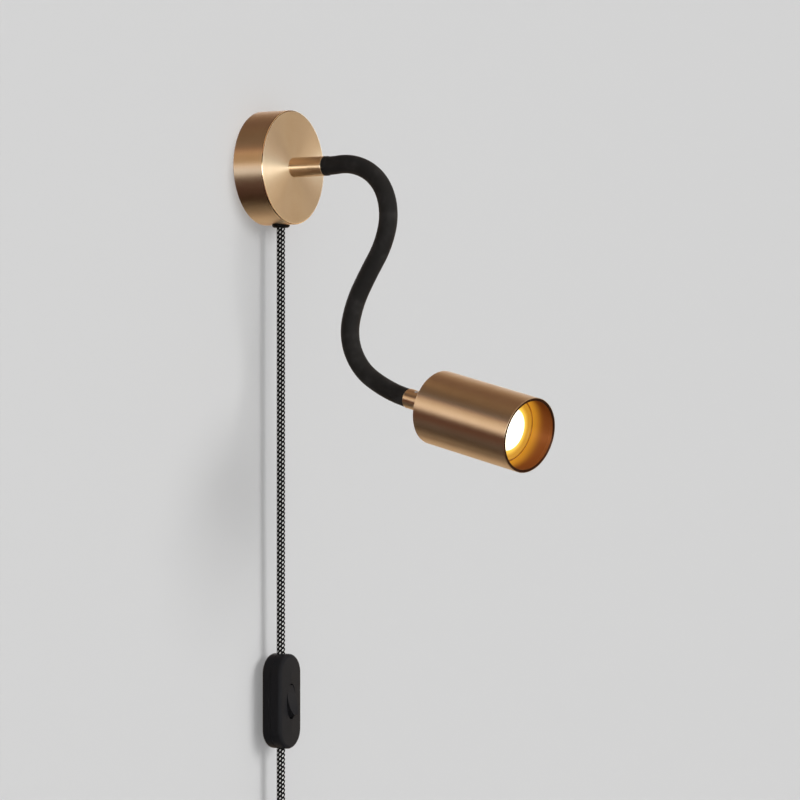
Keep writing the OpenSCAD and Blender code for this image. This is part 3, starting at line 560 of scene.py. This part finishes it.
def turnedBrass(name, radius, grooves=1.0, touches=None):
    # fine rings from the lathe run round the piece, so highlights spread across them
    def build(sheet, colour):
        around, along = sheet.skinPlace()
        turn = around * math.tau
        spread = brass["grainSpread"]
        ringPlace = sheet.joined(sheet.one("COSINE", turn) * spread, sheet.one("SINE", turn) * spread, along)
        rings = sheet.noise(ringPlace, brass["grain"], 3.0, 0.65)
        rolled = sheet.rolledPlace(radius)
        cloud = sheet.noise(rolled, brass["cloud"], 3.0)
        speck = sheet.noise(rolled, brass["speck"], 2.0)
        tone = cloud * 0.6 + rings * 0.4
        look = {
            "Base Color": sheet.colours(sheet.smooth(tone, 0.35, 0.75), colour, brass["deep"]),
            "Roughness": brass["roughness"] - 0.03 + (rings - 0.5) * 0.14 + (speck - 0.5) * 0.05,
            "Normal": sheet.bump(rings, brass["groove"] * grooves, 0.5),
        }
        return {**look, **touches(sheet, look)} if touches else look

    inputs = {"Metallic": 1.0, "Anisotropic": brass["anisotropy"], "Anisotropic Rotation": 0.25}
    return solidFinish(name, brass["colour"], inputs, build)


canopy = {
    "wall": 1.2 * mm,
    "edge": 1.0 * mm,
    "edgeFade": 0.25,
    "edgePolish": 0.2,
    "boreRound": 0.1 * mm,
    "mouthRound": 0.15 * mm,
    "footRound": 0.2 * mm,
    "cornerRound": 0.6 * mm,
    "bore": 5.05 * mm,
    "segments": 192,
    "inletRadius": 4.95 * mm,
    "inletCut": 4 * mm,
    "grainRadius": 45.0,
}


def canopyTouches(sheet, look):
    # the front edge is polished
    low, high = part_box("canopy")
    x, y, z = sheet.parts(sheet.bodyPlace())
    edge, fade = canopy["edge"] / mm, canopy["edgeFade"]
    rim, front = high.x / mm - edge, -low.y / mm - edge
    polished = sheet.smooth(sheet.fromAxis(x, y), rim - fade, rim) * sheet.smooth(z, front - fade, front)
    return {"Roughness": look["Roughness"] - polished * canopy["edgePolish"]}


def makeCanopy():
    low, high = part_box("canopy")
    radius, depth = high.x, -low.y
    c = canopy
    inside = depth - c["wall"]
    outline = softProfile([
        (c["bore"], inside, c["boreRound"]), (c["bore"], depth, c["mouthRound"]), (radius, depth, c["edge"]),
        (radius, 0.0, c["footRound"]), (radius - c["wall"], 0.0, c["footRound"]),
        (radius - c["wall"], inside, c["cornerRound"])])
    place = axisPlace((0, 0, 0), (0, -1, 0))
    cup = spunPiece("canopyCup", outline, place, c["segments"],
                    turnedBrass("turnedCanopy", c["grainRadius"], 1.0, canopyTouches))
    cutterPlace = axisPlace((0, cordRoute["out"] * mm, -radius + c["inletCut"]), (0, 0, -1))
    drill(cup, "inletCutter", c["inletRadius"], 2 * c["inletCut"], cutterPlace, 48)
    return stickOn(cup, "wall_base", "satin_brass", "canopy")


stem = {
    "edge": 0.4 * mm,
    "bore": 5.05 * mm,
    "boreRound": 0.1 * mm,
    "socket": 5.9 * mm,
    "socketDepth": 11.3 * mm,
    "socketRound": 0.15 * mm,
    "segments": 96,
    "grooves": 0.6,
    "grainRadius": 7.7,
}


def makeStem():
    low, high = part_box("stem")
    radius, foot, length = high.x, -high.y, high.y - low.y
    s = stem
    floor, fine = length - s["socketDepth"], s["boreRound"]
    outline = softProfile([
        (s["bore"], 0, fine), (radius, 0, s["edge"]), (radius, length, s["edge"]),
        (s["socket"], length, s["socketRound"]), (s["socket"], floor, fine), (s["bore"], floor, fine)])
    place = axisPlace((0, -foot, 0), (0, -1, 0))
    tube = spunPiece("stemTube", outline, place, s["segments"],
                     turnedBrass("turnedStem", s["grainRadius"], s["grooves"]))
    tube.visible_glossy = False
    return stickOn(tube, "wall_base", "satin_brass", "stem")


head = {
    "length": 93.2 * mm,
    "radius": 28.65 * mm,
    "wall": 1.5 * mm,
    "rimWall": 2.3 * mm,
    "rimLength": 3.0 * mm,
    "backEdge": 1.0 * mm,
    "rimEdge": 0.35 * mm,
    "stepRound": 0.3 * mm,
    "cornerRound": 0.6 * mm,
    "segments": 160,
    "grainRadius": 28.6,
    "rimColour": (0.085, 0.040, 0.026),
    # the bore's amber brown is painted shade, and its emission is a painted glow from the lamp, fading from
    # glowFrom to glowTo along the head
    "borePaintedShade": (0.34, 0.115, 0.030),
    "borePaintedGlow": (0.52, 0.24, 0.018),
    "boreDull": 0.3,
    "borePaint": 0.35,
    "glowFrom": 72.0,
    "glowTo": 86.5,
    "glowFall": 1.6,
}

ferrule = {
    "length": 31.0 * mm,
    "radius": 7.7 * mm,
    "edge": 0.4 * mm,
    "wireBore": 3.5 * mm,
    "nippleDepth": 10.0 * mm,
    "grubAt": 9.0 * mm,
    "grubRadius": 1.55 * mm,
    "grubCut": 2.5 * mm,
    "grubCutLength": 6.0 * mm,
}


def armStops():
    # where the arm starts, its joints and its end; the end lies on the lamp's axis
    names = sorted((n for n in joints if n.startswith("arm_")), key=lambda n: int(n.split("_")[-1]))
    stops = [Vector((0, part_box("stem")[0].y, 0))] + [Vector(joints[n]["pos_m"]) for n in names]
    way = Vector((0, -1, 0))
    for start, end in zip(stops, stops[1:]):
        chord = (end - start).normalized()
        way = (2 * way.dot(chord) * chord - way).normalized()
    axis = Vector(joints["lamp_twist"]["axis"]).normalized()
    seat = Vector(joints["lamp_twist"]["pos_m"])
    last = (way + axis).normalized()
    sides = np.array([tuple(last), tuple(axis)]).T
    reach = np.linalg.lstsq(sides, np.array(tuple(seat - stops[-1])), rcond=None)[0]
    return stops + [stops[-1] + last * float(reach[0])], names, axis, seat


armPoints, armJoints, headAxis, lampSeat = armStops()
armEnd = armPoints[-1]
headBack = armEnd + headAxis * ferrule["length"]


def headTouches(sheet, look):
    # the rim is dark bronze; the bore is duller, with painted shade in amber brown and a painted glow from
    # the lamp that fades towards the rim
    x, y, z = sheet.parts(sheet.bodyPlace())
    out = sheet.fromAxis(x, y)
    radius, length = head["radius"] / mm, head["length"] / mm
    inside = sheet.smooth(out, radius - 0.25, radius - 0.5) * sheet.smooth(z, 2.0, 2.4)
    rim = sheet.smooth(z, length - 0.5, length - 0.25)
    bore = inside * (1 - rim)
    # painted shade in the bore; the rim keeps its own dark bronze
    shade = sheet.colours(rim, head["borePaintedShade"], head["rimColour"])
    # painted glow from the lamp, full near the lamp and gone towards the rim
    warm = sheet.smooth(z, head["glowTo"], head["glowFrom"]) ** head["glowFall"] * bore
    return {
        "Base Color": sheet.colours(inside, look["Base Color"], shade),
        "Roughness": look["Roughness"] + bore * head["boreDull"],
        "Metallic": 1 - bore * head["borePaint"],
        "Emission Color": sheet.colours(warm, (0.0, 0.0, 0.0), head["borePaintedGlow"]),
        "Emission Strength": 1.0,
    }


def makeHeadShell():
    h = head
    inner, rim, length = h["radius"] - h["wall"], h["radius"] - h["rimWall"], h["length"]
    slope = h["rimWall"] - h["wall"]
    outline = softProfile([
        (stem["bore"], 0, stem["boreRound"]), (h["radius"], 0, h["backEdge"]),
        (h["radius"], length, h["rimEdge"]), (rim, length, h["rimEdge"]),
        (rim, length - h["rimLength"], h["stepRound"]),
        (inner, length - h["rimLength"] - slope, h["stepRound"]), (inner, h["wall"], h["cornerRound"]),
        (stem["bore"], h["wall"], stem["boreRound"])])
    shell = spunPiece("headShell", outline, axisPlace(headBack, headAxis), h["segments"],
                      turnedBrass("turnedHead", h["grainRadius"], 1.0, headTouches))
    return stickOn(shell, "head", "satin_brass", "head_shell")


def makeFerrule():
    f, s = ferrule, stem
    r, length, fine = f["radius"], f["length"], s["boreRound"]
    nippleEnd = length - f["nippleDepth"]
    outline = softProfile([
        (s["socket"], 0, s["socketRound"]), (r, 0, f["edge"]), (r, length, f["edge"]),
        (s["bore"], length, fine), (s["bore"], nippleEnd, fine), (f["wireBore"], nippleEnd, fine),
        (f["wireBore"], s["socketDepth"], fine), (s["socket"], s["socketDepth"], fine)])
    tube = spunPiece("ferruleTube", outline, axisPlace(armEnd, headAxis), s["segments"],
                     turnedBrass("turnedFerrule", s["grainRadius"], s["grooves"]))
    low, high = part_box("ferrule_grub_screw")
    towards = (low + high) / 2 - (armEnd + headAxis * f["grubAt"])
    cutterPlace = axisPlace((low + high) / 2 - towards.normalized() * f["grubCut"], towards)
    drill(tube, "grubCutter", f["grubRadius"], f["grubCutLength"], cutterPlace, 32)
    return stickOn(tube, "head", "satin_brass", "head_ferrule")


makeCanopy()
makeStem()
makeHeadShell()
makeFerrule()
print("brass turned")


# rubber sleeve: one skin for each joint of the arm, from the middle of one length to the next

sleeve = {
    "radius": 7.25 * mm,
    "thickness": 1.3 * mm,
    "sides": 48,
    "ringStep": 0.9 * mm,
    "blendFrom": 0.11,
    "blendTo": 0.89,
    "collarRadius": 7.7 * mm,
    "collarLength": 5.5 * mm,
    "collarRound": 0.6 * mm,
    "collarSlope": 1.6 * mm,
    "collarGap": 0.05 * mm,
    "collarRoot": 0.3 * mm,
    "colour": (0.0215, 0.0203, 0.0195),
    "dusty": 1.9,
}


def rubberSkin(name, colour, radius):
    def build(sheet, colour):
        rolled = sheet.rolledPlace(radius)
        fine = sheet.noise(rolled, 2.6, 3.0, 0.6)
        cloud = sheet.noise(rolled, 0.07, 2.0)
        dust = sheet.smooth(cloud + (fine - 0.5) * 0.3, 0.45, 0.8)
        return {
            "Base Color": sheet.colours(dust, colour, tuple(sleeve["dusty"] * c for c in colour)),
            "Roughness": 0.52 + dust * 0.12 + (fine - 0.5) * 0.14,
            "Normal": sheet.bump(fine, 0.05 * mm, 0.35),
        }

    return solidFinish(name, colour, {"Specular IOR Level": 0.10}, build)


def armPath():
    # the arm's centreline as tangent arcs through its joints
    way = Vector((0, -1, 0))
    arcs = []
    for start, end in zip(armPoints, armPoints[1:]):
        chord = (end - start).normalized()
        arcs.append((start, end, way))
        way = (2 * way.dot(chord) * chord - way).normalized()
    return arcs


def arcPoint(arc, t):
    # point and direction at share t of an arc that starts along the given way
    start, end, way = arc
    chord = end - start
    half = math.acos(max(-1.0, min(1.0, way.dot(chord.normalized()))))
    if half < 1e-6:
        return start + chord * t, way
    away = (way - chord.normalized() * way.dot(chord.normalized())).normalized()
    radius = chord.length / 2 / math.sin(half)
    centre = (start + end) / 2 - away * radius * math.cos(half)
    angle = half * (1 - 2 * t)
    point = centre + away * radius * math.cos(angle) - chord.normalized() * radius * math.sin(angle)
    return point, chord.normalized() * math.cos(angle) + away * math.sin(angle)


def sleeveRings(arcs, k):
    # from the middle of length k - 1 to the middle of length k; the arm's two ends belong to the last ones
    first = 0.0 if k == 1 else 0.5
    last = 1.0 if k == len(arcs) - 1 else 0.5
    rings = []
    for index, low, high in ((k - 1, first, 1.0), (k, 0.0, last)):
        arc = arcs[index]
        long = (arc[1] - arc[0]).length * (high - low)
        count = max(4, round(long / sleeve["ringStep"]))
        for i in range(count + 1):
            if index == k and i == 0:
                continue
            rings.append(arcPoint(arc, low + (high - low) * i / count))
    return rings


def sleevePiece(name, rings, alongStart, material):
    # a thin-walled length of hose; side is where each ring of points starts
    side = np.array([1.0, 0.0, 0.0])
    centres = np.array([tuple(p) for p, _ in rings])
    ways = np.array([tuple(w) for _, w in rings])
    across = unit(side - (ways @ side)[:, None] * ways)
    over = np.cross(ways, across)
    along = alongStart + np.concatenate([[0], np.cumsum(np.linalg.norm(np.diff(centres, axis=0), axis=1))])
    angle = math.tau * np.arange(sleeve["sides"]) / sleeve["sides"]
    out = np.cos(angle)[None, :, None] * across[:, None] + np.sin(angle)[None, :, None] * over[:, None]
    sides = sleeve["sides"]
    outer = centres[:, None] + out * sleeve["radius"]
    inner = (centres[:, None] + out * (sleeve["radius"] - sleeve["thickness"]))[::-1]
    points = np.concatenate([outer.reshape(-1, 3), inner.reshape(-1, 3)])
    normals = np.concatenate([out.reshape(-1, 3), -out[::-1].reshape(-1, 3)])
    count = 2 * len(rings)
    corners = gridFaces(count, sides, True)
    corners = [[(i % count, j) for i, j in quad] for quad in corners]
    distance = np.concatenate([along, along[::-1]])
    faces = [[i * sides + j % sides for i, j in quad] for quad in corners]
    skin = [(j / sides, distance[i]) for quad in corners for i, j in quad]
    piece = newPiece(name, points, faces, material, skin)
    # neighbouring skins get the same normals, so that no joint shows between them
    loopNormals = []
    for quad, face in zip(corners, faces):
        rows = {i for i, _ in quad}
        if rows == {len(rings) - 1, len(rings)}:
            loopNormals += [tuple(ways[-1])] * 4
        elif rows == {0, count - 1}:
            loopNormals += [tuple(-ways[0])] * 4
        else:
            loopNormals += [tuple(normals[corner]) for corner in face]
    piece.data.normals_split_custom_set(loopNormals)
    return piece, along[-1]


def makeSleeve():
    arcs = armPath()
    material = rubberSkin("rubberSleeve", sleeve["colour"], sleeve["radius"] / mm)
    along = 0.0
    for k in range(1, len(arcs)):
        rings = sleeveRings(arcs, k)
        piece, along = sleevePiece(f"sleeveSkin{k}", rings, along, material)
        start, end = rings[0][0], rings[-1][0]
        nodes = [f"arm_sleeve_{k - 1}"] + ([f"arm_sleeve_{k}"] if k == len(arcs) - 1 else [])
        piece.visible_glossy = False
        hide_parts(*nodes)
        low = start + (end - start) * sleeve["blendFrom"]
        high = start + (end - start) * sleeve["blendTo"]
        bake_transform(piece)
    return material


def makeCollar(material):
    s = sleeve
    root, gap = s["radius"] - s["collarRoot"], s["collarGap"]
    outline = softProfile([
        (root, gap, 0), (s["collarRadius"], gap, s["collarRound"]),
        (s["collarRadius"], s["collarLength"] * 0.62, s["collarSlope"]), (root, s["collarLength"], 0)])
    place = axisPlace((0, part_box("stem")[0].y, 0), (0, -1, 0))
    collar = spunPiece("sleeveCollar", outline, place, 64, material)
    collar.visible_glossy = False
    return stickOn(collar, "wall_base", "black_rubber")


sleeveRubber = makeSleeve()
makeCollar(sleeveRubber)
print("sleeve drawn over the arm")


# finishes for the pieces that keep their CAD shape

def matFinish(name, colour, roughness, grain, depth, speckle=0.12, shine=0.5):
    # moulded plastic, ceramic and the like: fine grain with a slow change of tone
    def build(sheet, colour):
        place = sheet.bodyPlace()
        fine = sheet.noise(place, grain, 3.0, 0.6)
        cloud = sheet.noise(place, 0.08, 2.0)
        darker = tuple((1 - speckle) * c for c in colour)
        return {
            "Base Color": sheet.colours(cloud * 0.6 + fine * 0.4, darker, colour),
            "Roughness": roughness + (fine - 0.5) * 0.16 + (cloud - 0.5) * 0.08,
            "Normal": sheet.bump(fine, depth * mm, 0.5),
        }

    return solidFinish(name, colour, {"Specular IOR Level": shine}, build)


def metalFinish(name, colour, roughness, grain=1.5, stretch=(1, 1, 1), depth=0.01, metallic=1.0):
    # sheet, screws and tubes: scratches along one direction and a clouded plating
    def build(sheet, colour):
        place = sheet.bodyPlace()
        drawn = sheet.add("VectorMath", {"operation": "MULTIPLY"}, {0: place, 1: stretch})
        scratch = sheet.noise(drawn, grain, 4.0, 0.65)
        cloud = sheet.noise(place, 0.12, 3.0)
        dull = tuple(0.72 * c for c in colour)
        return {
            "Base Color": sheet.colours(sheet.smooth(cloud, 0.3, 0.75), colour, dull),
            "Roughness": roughness + (scratch - 0.5) * 0.25 + (cloud - 0.5) * 0.1,
            "Normal": sheet.bump(scratch, depth * mm, 0.5),
        }

    return solidFinish(name, colour, {"Metallic": metallic}, build)


# how each piece that keeps its CAD shape looks, by finish
looks = {
    "zincSteel": {
        "make": metalFinish,
        "look": {"colour": (0.56, 0.57, 0.58), "roughness": 0.34, "grain": 1.2, "stretch": (1, 1, 0.15)},
        "slot": "plated_steel",
        "nodes": ["wall_bracket", "hollow_nipple", "bracket_screws", "head_nipple", "holder_bracket",
                  "holder_screws", "switch_screws"],
    },
    "oiledSteel": {
        "make": metalFinish,
        "look": {"colour": (0.30, 0.31, 0.32), "roughness": 0.38, "grain": 2.0},
        "slot": "spiral_steel",
        "nodes": [f"gooseneck_core_{k}" for k in range(11)],
    },
    "machinedBrass": {
        "make": metalFinish,
        "look": {"colour": (0.70, 0.51, 0.26), "roughness": 0.28, "grain": 2.0},
        "slot": "plain_brass",
        "nodes": ["bracket_nuts", "terminal_contacts", "head_nut", "switch_contacts", "plug_earth_clips"],
    },
    # plated steel made near-white and half diffuse, so the grub screw shows a painted glint
    "brightSteel": {
        "make": metalFinish,
        "look": {"colour": (0.96, 0.94, 0.90), "roughness": 0.45, "grain": 1.2, "metallic": 0.3},
        "slot": "plated_steel",
        "nodes": ["ferrule_grub_screw"],
    },
    "platedPins": {
        "make": metalFinish,
        "look": {"colour": (0.66, 0.66, 0.67), "roughness": 0.2, "grain": 1.0, "stretch": (1, 1, 0.1),
                 "depth": 0.005},
        "slot": "plated_steel",
        "nodes": ["lamp_pins", "plug_pins"],
    },
    "whiteCeramic": {
        "make": matFinish,
        "look": {"colour": (0.80, 0.77, 0.70), "roughness": 0.55, "grain": 1.6, "depth": 0.05,
                 "speckle": 0.1},
        "slot": "white_ceramic",
        "nodes": ["cord_clamp", "lamp_holder", "lamp_base"],
    },
    "creamPlastic": {
        "make": matFinish,
        "look": {"colour": (0.72, 0.66, 0.52), "roughness": 0.42, "grain": 1.2, "depth": 0.02,
                 "speckle": 0.06},
        "slot": "cream_plastic",
        "nodes": ["terminal_block"],
    },
    "grommetRubber": {
        "make": matFinish,
        "look": {"colour": (0.0095, 0.0092, 0.0095), "roughness": 0.5, "grain": 2.2, "depth": 0.04,
                 "shine": 0.1},
        "slot": "black_rubber",
        "nodes": ["cord_grommet", "cord_tie"],
    },
    "switchPlastic": {
        "make": matFinish,
        "look": {"colour": (0.0215, 0.0215, 0.0235), "roughness": 0.40, "grain": 5.0, "depth": 0.03,
                 "speckle": 0.16, "shine": 0.05},
        "slot": "black_plastic",
        "nodes": ["switch_back_housing", "switch_front_housing", "switch_rocker"],
    },
    "plugPlastic": {
        "make": matFinish,
        "look": {"colour": (0.0215, 0.0215, 0.0235), "roughness": 0.38, "grain": 4.0, "depth": 0.03,
                 "speckle": 0.16, "shine": 0.08},
        "slot": "black_plastic",
        "nodes": ["plug_body"],
    },
    "reflectorMetal": {
        "make": metalFinish,
        "look": {"colour": (0.78, 0.60, 0.36), "roughness": 0.42, "grain": 0.8},
        "slot": "lamp_reflector",
        "nodes": ["lamp_reflector"],
    },
}


def dressNodes():
    for name, finish in looks.items():
        material = finish["make"](name, **finish["look"])
        for nodeName in finish["nodes"]:
            node = frame["nodes"][nodeName]
            node.data.materials.clear()
            node.data.materials.append(material)
    # what stem and arm hide stays out of the canopy's mirror image, as they do
    for nodeName in ["hollow_nipple", *looks["oiledSteel"]["nodes"]]:
        frame["nodes"][nodeName].visible_glossy = False


dressNodes()
print("pieces dressed")


# the lit lens

lens = {
    "radius": 23.8 * mm,
    "height": 46.5 * mm,
    "thickness": 3.0 * mm,
    "bezelWidth": 1.2 * mm,
    "bezelStep": 0.4 * mm,
    "glowRadius": 16.0,
    "glass": (0.9, 0.88, 0.8),
    "frame": (0.11, 0.07, 0.03),
    "hot": (1.0, 0.90, 0.66),
    "edge": (0.60, 0.38, 0.05),
    # the bezel's dim amber emission is painted glare from the lamp
    "bezel": (0.27, 0.125, 0.008),
    "strength": 2.0,
    "shown": (1.0, 0.9, 0.7),
}


def lensGlow():
    def build(sheet, colour):
        x, y, _ = sheet.parts(sheet.bodyPlace())
        cells = sheet.noise(sheet.bodyPlace(), 0.5, 2.0)
        out = sheet.fromAxis(x, y) + (cells - 0.5) * 0.6
        edge = sheet.smooth(out, lens["glowRadius"] - 1.0, lens["glowRadius"] + 1.0)
        # outside the glowing disc the bezel gets painted glare from the lamp
        outer = sheet.smooth(out, lens["glowRadius"] - 0.5, lens["glowRadius"] + 6.0)
        glow = sheet.colours(edge, lens["hot"], lens["edge"])
        return {
            "Base Color": sheet.colours(edge, lens["glass"], lens["frame"]),
            "Roughness": 0.35 + cells * 0.1,
            "Emission Color": sheet.colours(outer, glow, lens["bezel"]),
        }

    return solidFinish("lensGlow", lens["shown"], {"Emission Strength": lens["strength"]}, build)


def makeLens():
    # from the axis round the back and the bezel to the slightly domed glass
    r, ring = lens["radius"], lens["glowRadius"] * mm
    front = lens["height"] - lens["bezelStep"]
    sunk = front - 1.0 * mm
    fine = 0.3 * mm
    outline = softProfile([
        (0, front - lens["thickness"], 0), (r, front - lens["thickness"], 0.1 * mm), (r, front, 0.2 * mm),
        (r - lens["bezelWidth"], front, fine), (r - 2 * mm, sunk, fine), (ring + 0.8 * mm, sunk, fine),
        (ring, front - 0.4 * mm, fine), (ring * 0.5, front - 0.1 * mm, 4 * mm), (0, front, 0)])
    disc = spunPiece("lampGlass", outline, axisPlace(lampSeat, headAxis), 96, lensGlow(), False)
    return stickOn(disc, "lamp", "lamp_lens", "lamp_lens")


makeLens()
print("lamp lit")


# leads in the canopy

leads = {
    "colours": {
        "leadBrown": (0.16, 0.055, 0.022),
        "leadEarth": (0.30, 0.36, 0.05),
        "leadBlue": (0.03, 0.10, 0.30),
    },
    "radius": 1.05 * mm,
    "sides": 14,
    "step": 0.8 * mm,
    # where they run, in millimetres: x across, y out from the wall, z up
    "sheathEnd": -14.0,
    "fan": 1.45,
    "past": (-10.0, -7.0, 10.0),
    "poleSpacing": 8.0,
    "poleOut": 12.5,
    "blockLow": 15.0,
    "blockTop": 26.0,
    "nippleSpacing": 2.3,
    "behind": 1.4,
    "over": 38.4,
}


def leadRoutes(side, past):
    # from the cord to the terminal block, and from the arm's hollow tube over the block's top into it
    d = leads
    angle = math.radians(120 * side)
    fromX, fromY = d["fan"] * math.sin(angle), -cordRoute["out"] + d["fan"] * math.cos(angle)
    pole, out, inner = side * d["poleSpacing"], d["poleOut"], side * d["nippleSpacing"]
    behind, over = d["behind"], d["over"]
    first = [(fromX, fromY, d["sheathEnd"]), (fromX, fromY, d["sheathEnd"] + 1), (past * 0.65, fromY, -9.5),
             (past, 13.8, -4.5), (past, out, 1), ((past + pole) / 2, out, 7.4), (pole, out, 11),
             (pole, out, d["blockLow"])]
    second = [(inner, 9, 0), (inner, 2.5, 0), (inner, behind, 1), (inner, behind, 5),
              (pole * 0.8, behind, 12), (pole, behind, over - 6), (pole, 2.6, over - 2), (pole, 5.6, over),
              (pole, 9.4, over), (pole, 12, over - 2.4), (pole, out, over - 5.4), (pole, out, d["blockTop"])]
    return first, second


def makeLeads():
    for side, past, (name, colour) in zip((-1, 0, 1), leads["past"], leads["colours"].items()):
        material = matFinish(name + "Coat", colour, 0.35, 1.5, 0.02)
        for number, route in enumerate(leadRoutes(side, past)):
            path = curveThrough([(x * mm, -y * mm, z * mm) for x, y, z in route], leads["step"])
            piece = tubeMesh(f"{name}{number}", path, leads["radius"], leads["sides"], material)
            stickOn(piece, "wall_base", "lead_insulation", "canopy_wires")


makeLeads()
print("leads laid")


# wall, floor and studio light

studio = {
    "wallColour": (0.46, 0.46, 0.46),
    "wallMottle": 0.91,
    "cameraFill": (0.205, 0.205, 0.205),
    "wallReach": 3.2,
    "wallBehind": 0.2 * mm,
    "wallHole": 43 * mm,
    "floorColour": (0.70, 0.70, 0.70),
    "floorHeight": -0.80,
    "floorReach": 2.6,
    "skySides": 0.125,
    "skyFront": 0.57,
    "skyTowards": (-0.45, -0.85, 0.25),
    "backdrop": (0.65, 0.65, 0.65),
    "sunStrength": 1.75,
    "sunAngle": 30.0,
    "sunFrom": (0.35, -2.6, 0.9),
    # soft panels of the studio that shiny surfaces mirror: from this height to that, and how bright
    "panels": {
        "leftBack": [(-0.42, -0.10, 0.10), (0.06, 0.40, 0.58)],
        "rightBack": [(-0.86, -0.72, 0.82), (-0.80, 0.55, 0.47), (-0.34, -0.20, 0.95), (0.16, 0.43, 1.80),
                      (0.45, 0.72, 0.30)],
        "leftFront": [(-0.72, -0.54, 0.19), (-0.17, -0.02, 2.50), (0.46, 0.93, 0.53)],
        "rightFront": [(-0.34, 0.02, 0.68), (0.08, 0.10, 1.25), (0.74, 0.90, 0.72)],
    },
    "softEdge": 0.14,
    "heightSteps": 30,
    "dimGreen": 0.48,
    "greenRise": (0.2, 1.1),
    "dimBlue": 0.36,
    "blueRise": (0.45, 1.2),
    "mirrorLevel": 1.05,
}


def studioTint(level):
    # dim parts of the studio are warm
    def share(dim, rise):
        t = min(1.0, max(0.0, (level - rise[0]) / (rise[1] - rise[0])))
        return dim + (1 - dim) * t * t * (3 - 2 * t)

    return (level, level * share(studio["dimGreen"], studio["greenRise"]),
            level * share(studio["dimBlue"], studio["blueRise"]))


def panelLevel(panels, height):
    # the brightest panel at that height; each one fades out over the soft edge
    levels = [0.0]
    for low, high, brightness in panels:
        outside = max(low - height, height - high, 0.0)
        levels.append(brightness * max(0.0, 1 - outside / studio["softEdge"]))
    return max(levels)


def stagePaint(name, build):
    # a fill that only the camera sees keeps shadows shallow; from behind the paint is clear
    material, sheet = newMaterial(name)
    behind = sheet.add("NewGeometry", None, None, 6)
    inputs, hidden = build(sheet, behind)
    seen = sheet.add("LightPath", None, None, 0)
    fill = sheet.colours(seen, (0.0, 0.0, 0.0), studio["cameraFill"])
    paint = sheet.add("BsdfPrincipled", None, {
        "Specular IOR Level": 0.1, "Emission Color": fill, "Emission Strength": 1.0, **inputs})
    clear = sheet.add("BsdfTransparent")
    sheet.finish(sheet.add("MixShader", None, {0: hidden, 1: paint, 2: clear}))
    return material


def wallLook(sheet, behind):
    fine = sheet.noise(sheet.bodyPlace(), 0.3, 3.0)
    darker = tuple(studio["wallMottle"] * c for c in studio["wallColour"])
    return {
        "Base Color": sheet.colours(fine * 0.15, studio["wallColour"], darker),
        "Roughness": 0.9,
        "Normal": sheet.bump(fine, 0.05 * mm, 0.1),
    }, behind


def floorLook(sheet, behind):
    # the floor fades out towards its edge
    x, y, _ = sheet.parts(sheet.add("TexCoord", None, None, 3))
    faded = sheet.smooth(sheet.fromAxis(x, y), 1.2, 2.4)
    look = {"Base Color": (*studio["floorColour"], 1.0), "Roughness": 0.85}
    return look, sheet.one("MAXIMUM", faded, behind)


def makeStage():
    # the wall has a hole behind the canopy
    hole, side, y = studio["wallHole"], 96, studio["wallBehind"]
    ring, far = [], []
    for j in range(side):
        c, s = math.cos(math.tau * j / side), math.sin(math.tau * j / side)
        reach = studio["wallReach"] / max(abs(c), abs(s))
        ring.append((hole * c, y, hole * s))
        far.append((reach * c, y, reach * s))
    faces = [[j, (j + 1) % side, side + (j + 1) % side, side + j] for j in range(side)]
    wall = newPiece("wallPlane", ring + far, faces, stagePaint("wallPaint", wallLook))
    if wall.data.polygons[0].normal.y > 0:
        wall.data.flip_normals()
    level, reach = studio["floorHeight"], studio["floorReach"]
    ground = [(x * reach, y * reach, level) for x, y in ((-1, -1), (1, -1), (1, 1), (-1, 1))]
    floor = newPiece("floorPlane", ground, [[0, 1, 2, 3]], stagePaint("floorPaint", floorLook))
    wall.visible_glossy = floor.visible_glossy = False


def makeSun():
    data = bpy.data.lights.new("frontSun", "SUN")
    data.energy = studio["sunStrength"]
    data.angle = math.radians(studio["sunAngle"])
    sun = bpy.data.objects.new("frontSun", data)
    sun.rotation_euler = (-Vector(studio["sunFrom"])).to_track_quat("-Z", "Y").to_euler()
    sun.visible_glossy = False
    bpy.context.scene.collection.objects.link(sun)


def makeWorld():
    world = bpy.data.worlds.new("studioWorld")
    world.use_nodes = True
    bpy.context.scene.world = world
    sheet = Sheet(world.node_tree)
    x, y, height = sheet.parts(sheet.add("TexCoord", None, None, 0))
    rise = height * 0.5 + 0.5
    steps = studio["heightSteps"]
    bands = {}
    for part, panels in studio["panels"].items():
        stops = [(i / steps, studioTint(panelLevel(panels, 2 * i / steps - 1))) for i in range(steps + 1)]
        bands[part] = sheet.add("ValToRGB", {"stops": stops}, {0: rise})
    rightward, frontward = sheet.smooth(x, -0.35, 0.45), sheet.smooth(y, 0.3, -0.3)
    behind = sheet.colours(rightward, bands["leftBack"], bands["rightBack"])
    ahead = sheet.colours(rightward, bands["leftFront"], bands["rightFront"])
    mirrored = sheet.colours(frontward, behind, ahead)
    shiny = sheet.add("Background", None, {"Color": mirrored, "Strength": studio["mirrorLevel"]})
    sky = Vector(studio["skyTowards"]).normalized()
    facing = sheet.smooth(x * sky.x + y * sky.y + height * sky.z, -0.1, 0.8)
    front = sheet.colours(facing, (studio["skySides"],) * 3, (studio["skyFront"],) * 3)
    soft = sheet.add("Background", None, {"Color": front, "Strength": 1.0})
    back = sheet.add("Background", None, {"Color": (*studio["backdrop"], 1), "Strength": 1.0})
    glossy = sheet.add("LightPath", None, None, 3)
    camera = sheet.add("LightPath", None, None, 0)
    mixed = sheet.add("MixShader", None, {0: glossy, 1: soft, 2: shiny})
    mixed = sheet.add("MixShader", None, {0: camera, 1: mixed, 2: back})
    sheet.finish(mixed, "OutputWorld")


makeStage()
makeWorld()
makeSun()
bpy.context.scene.view_settings.view_transform = "Standard"
print("stage lit")
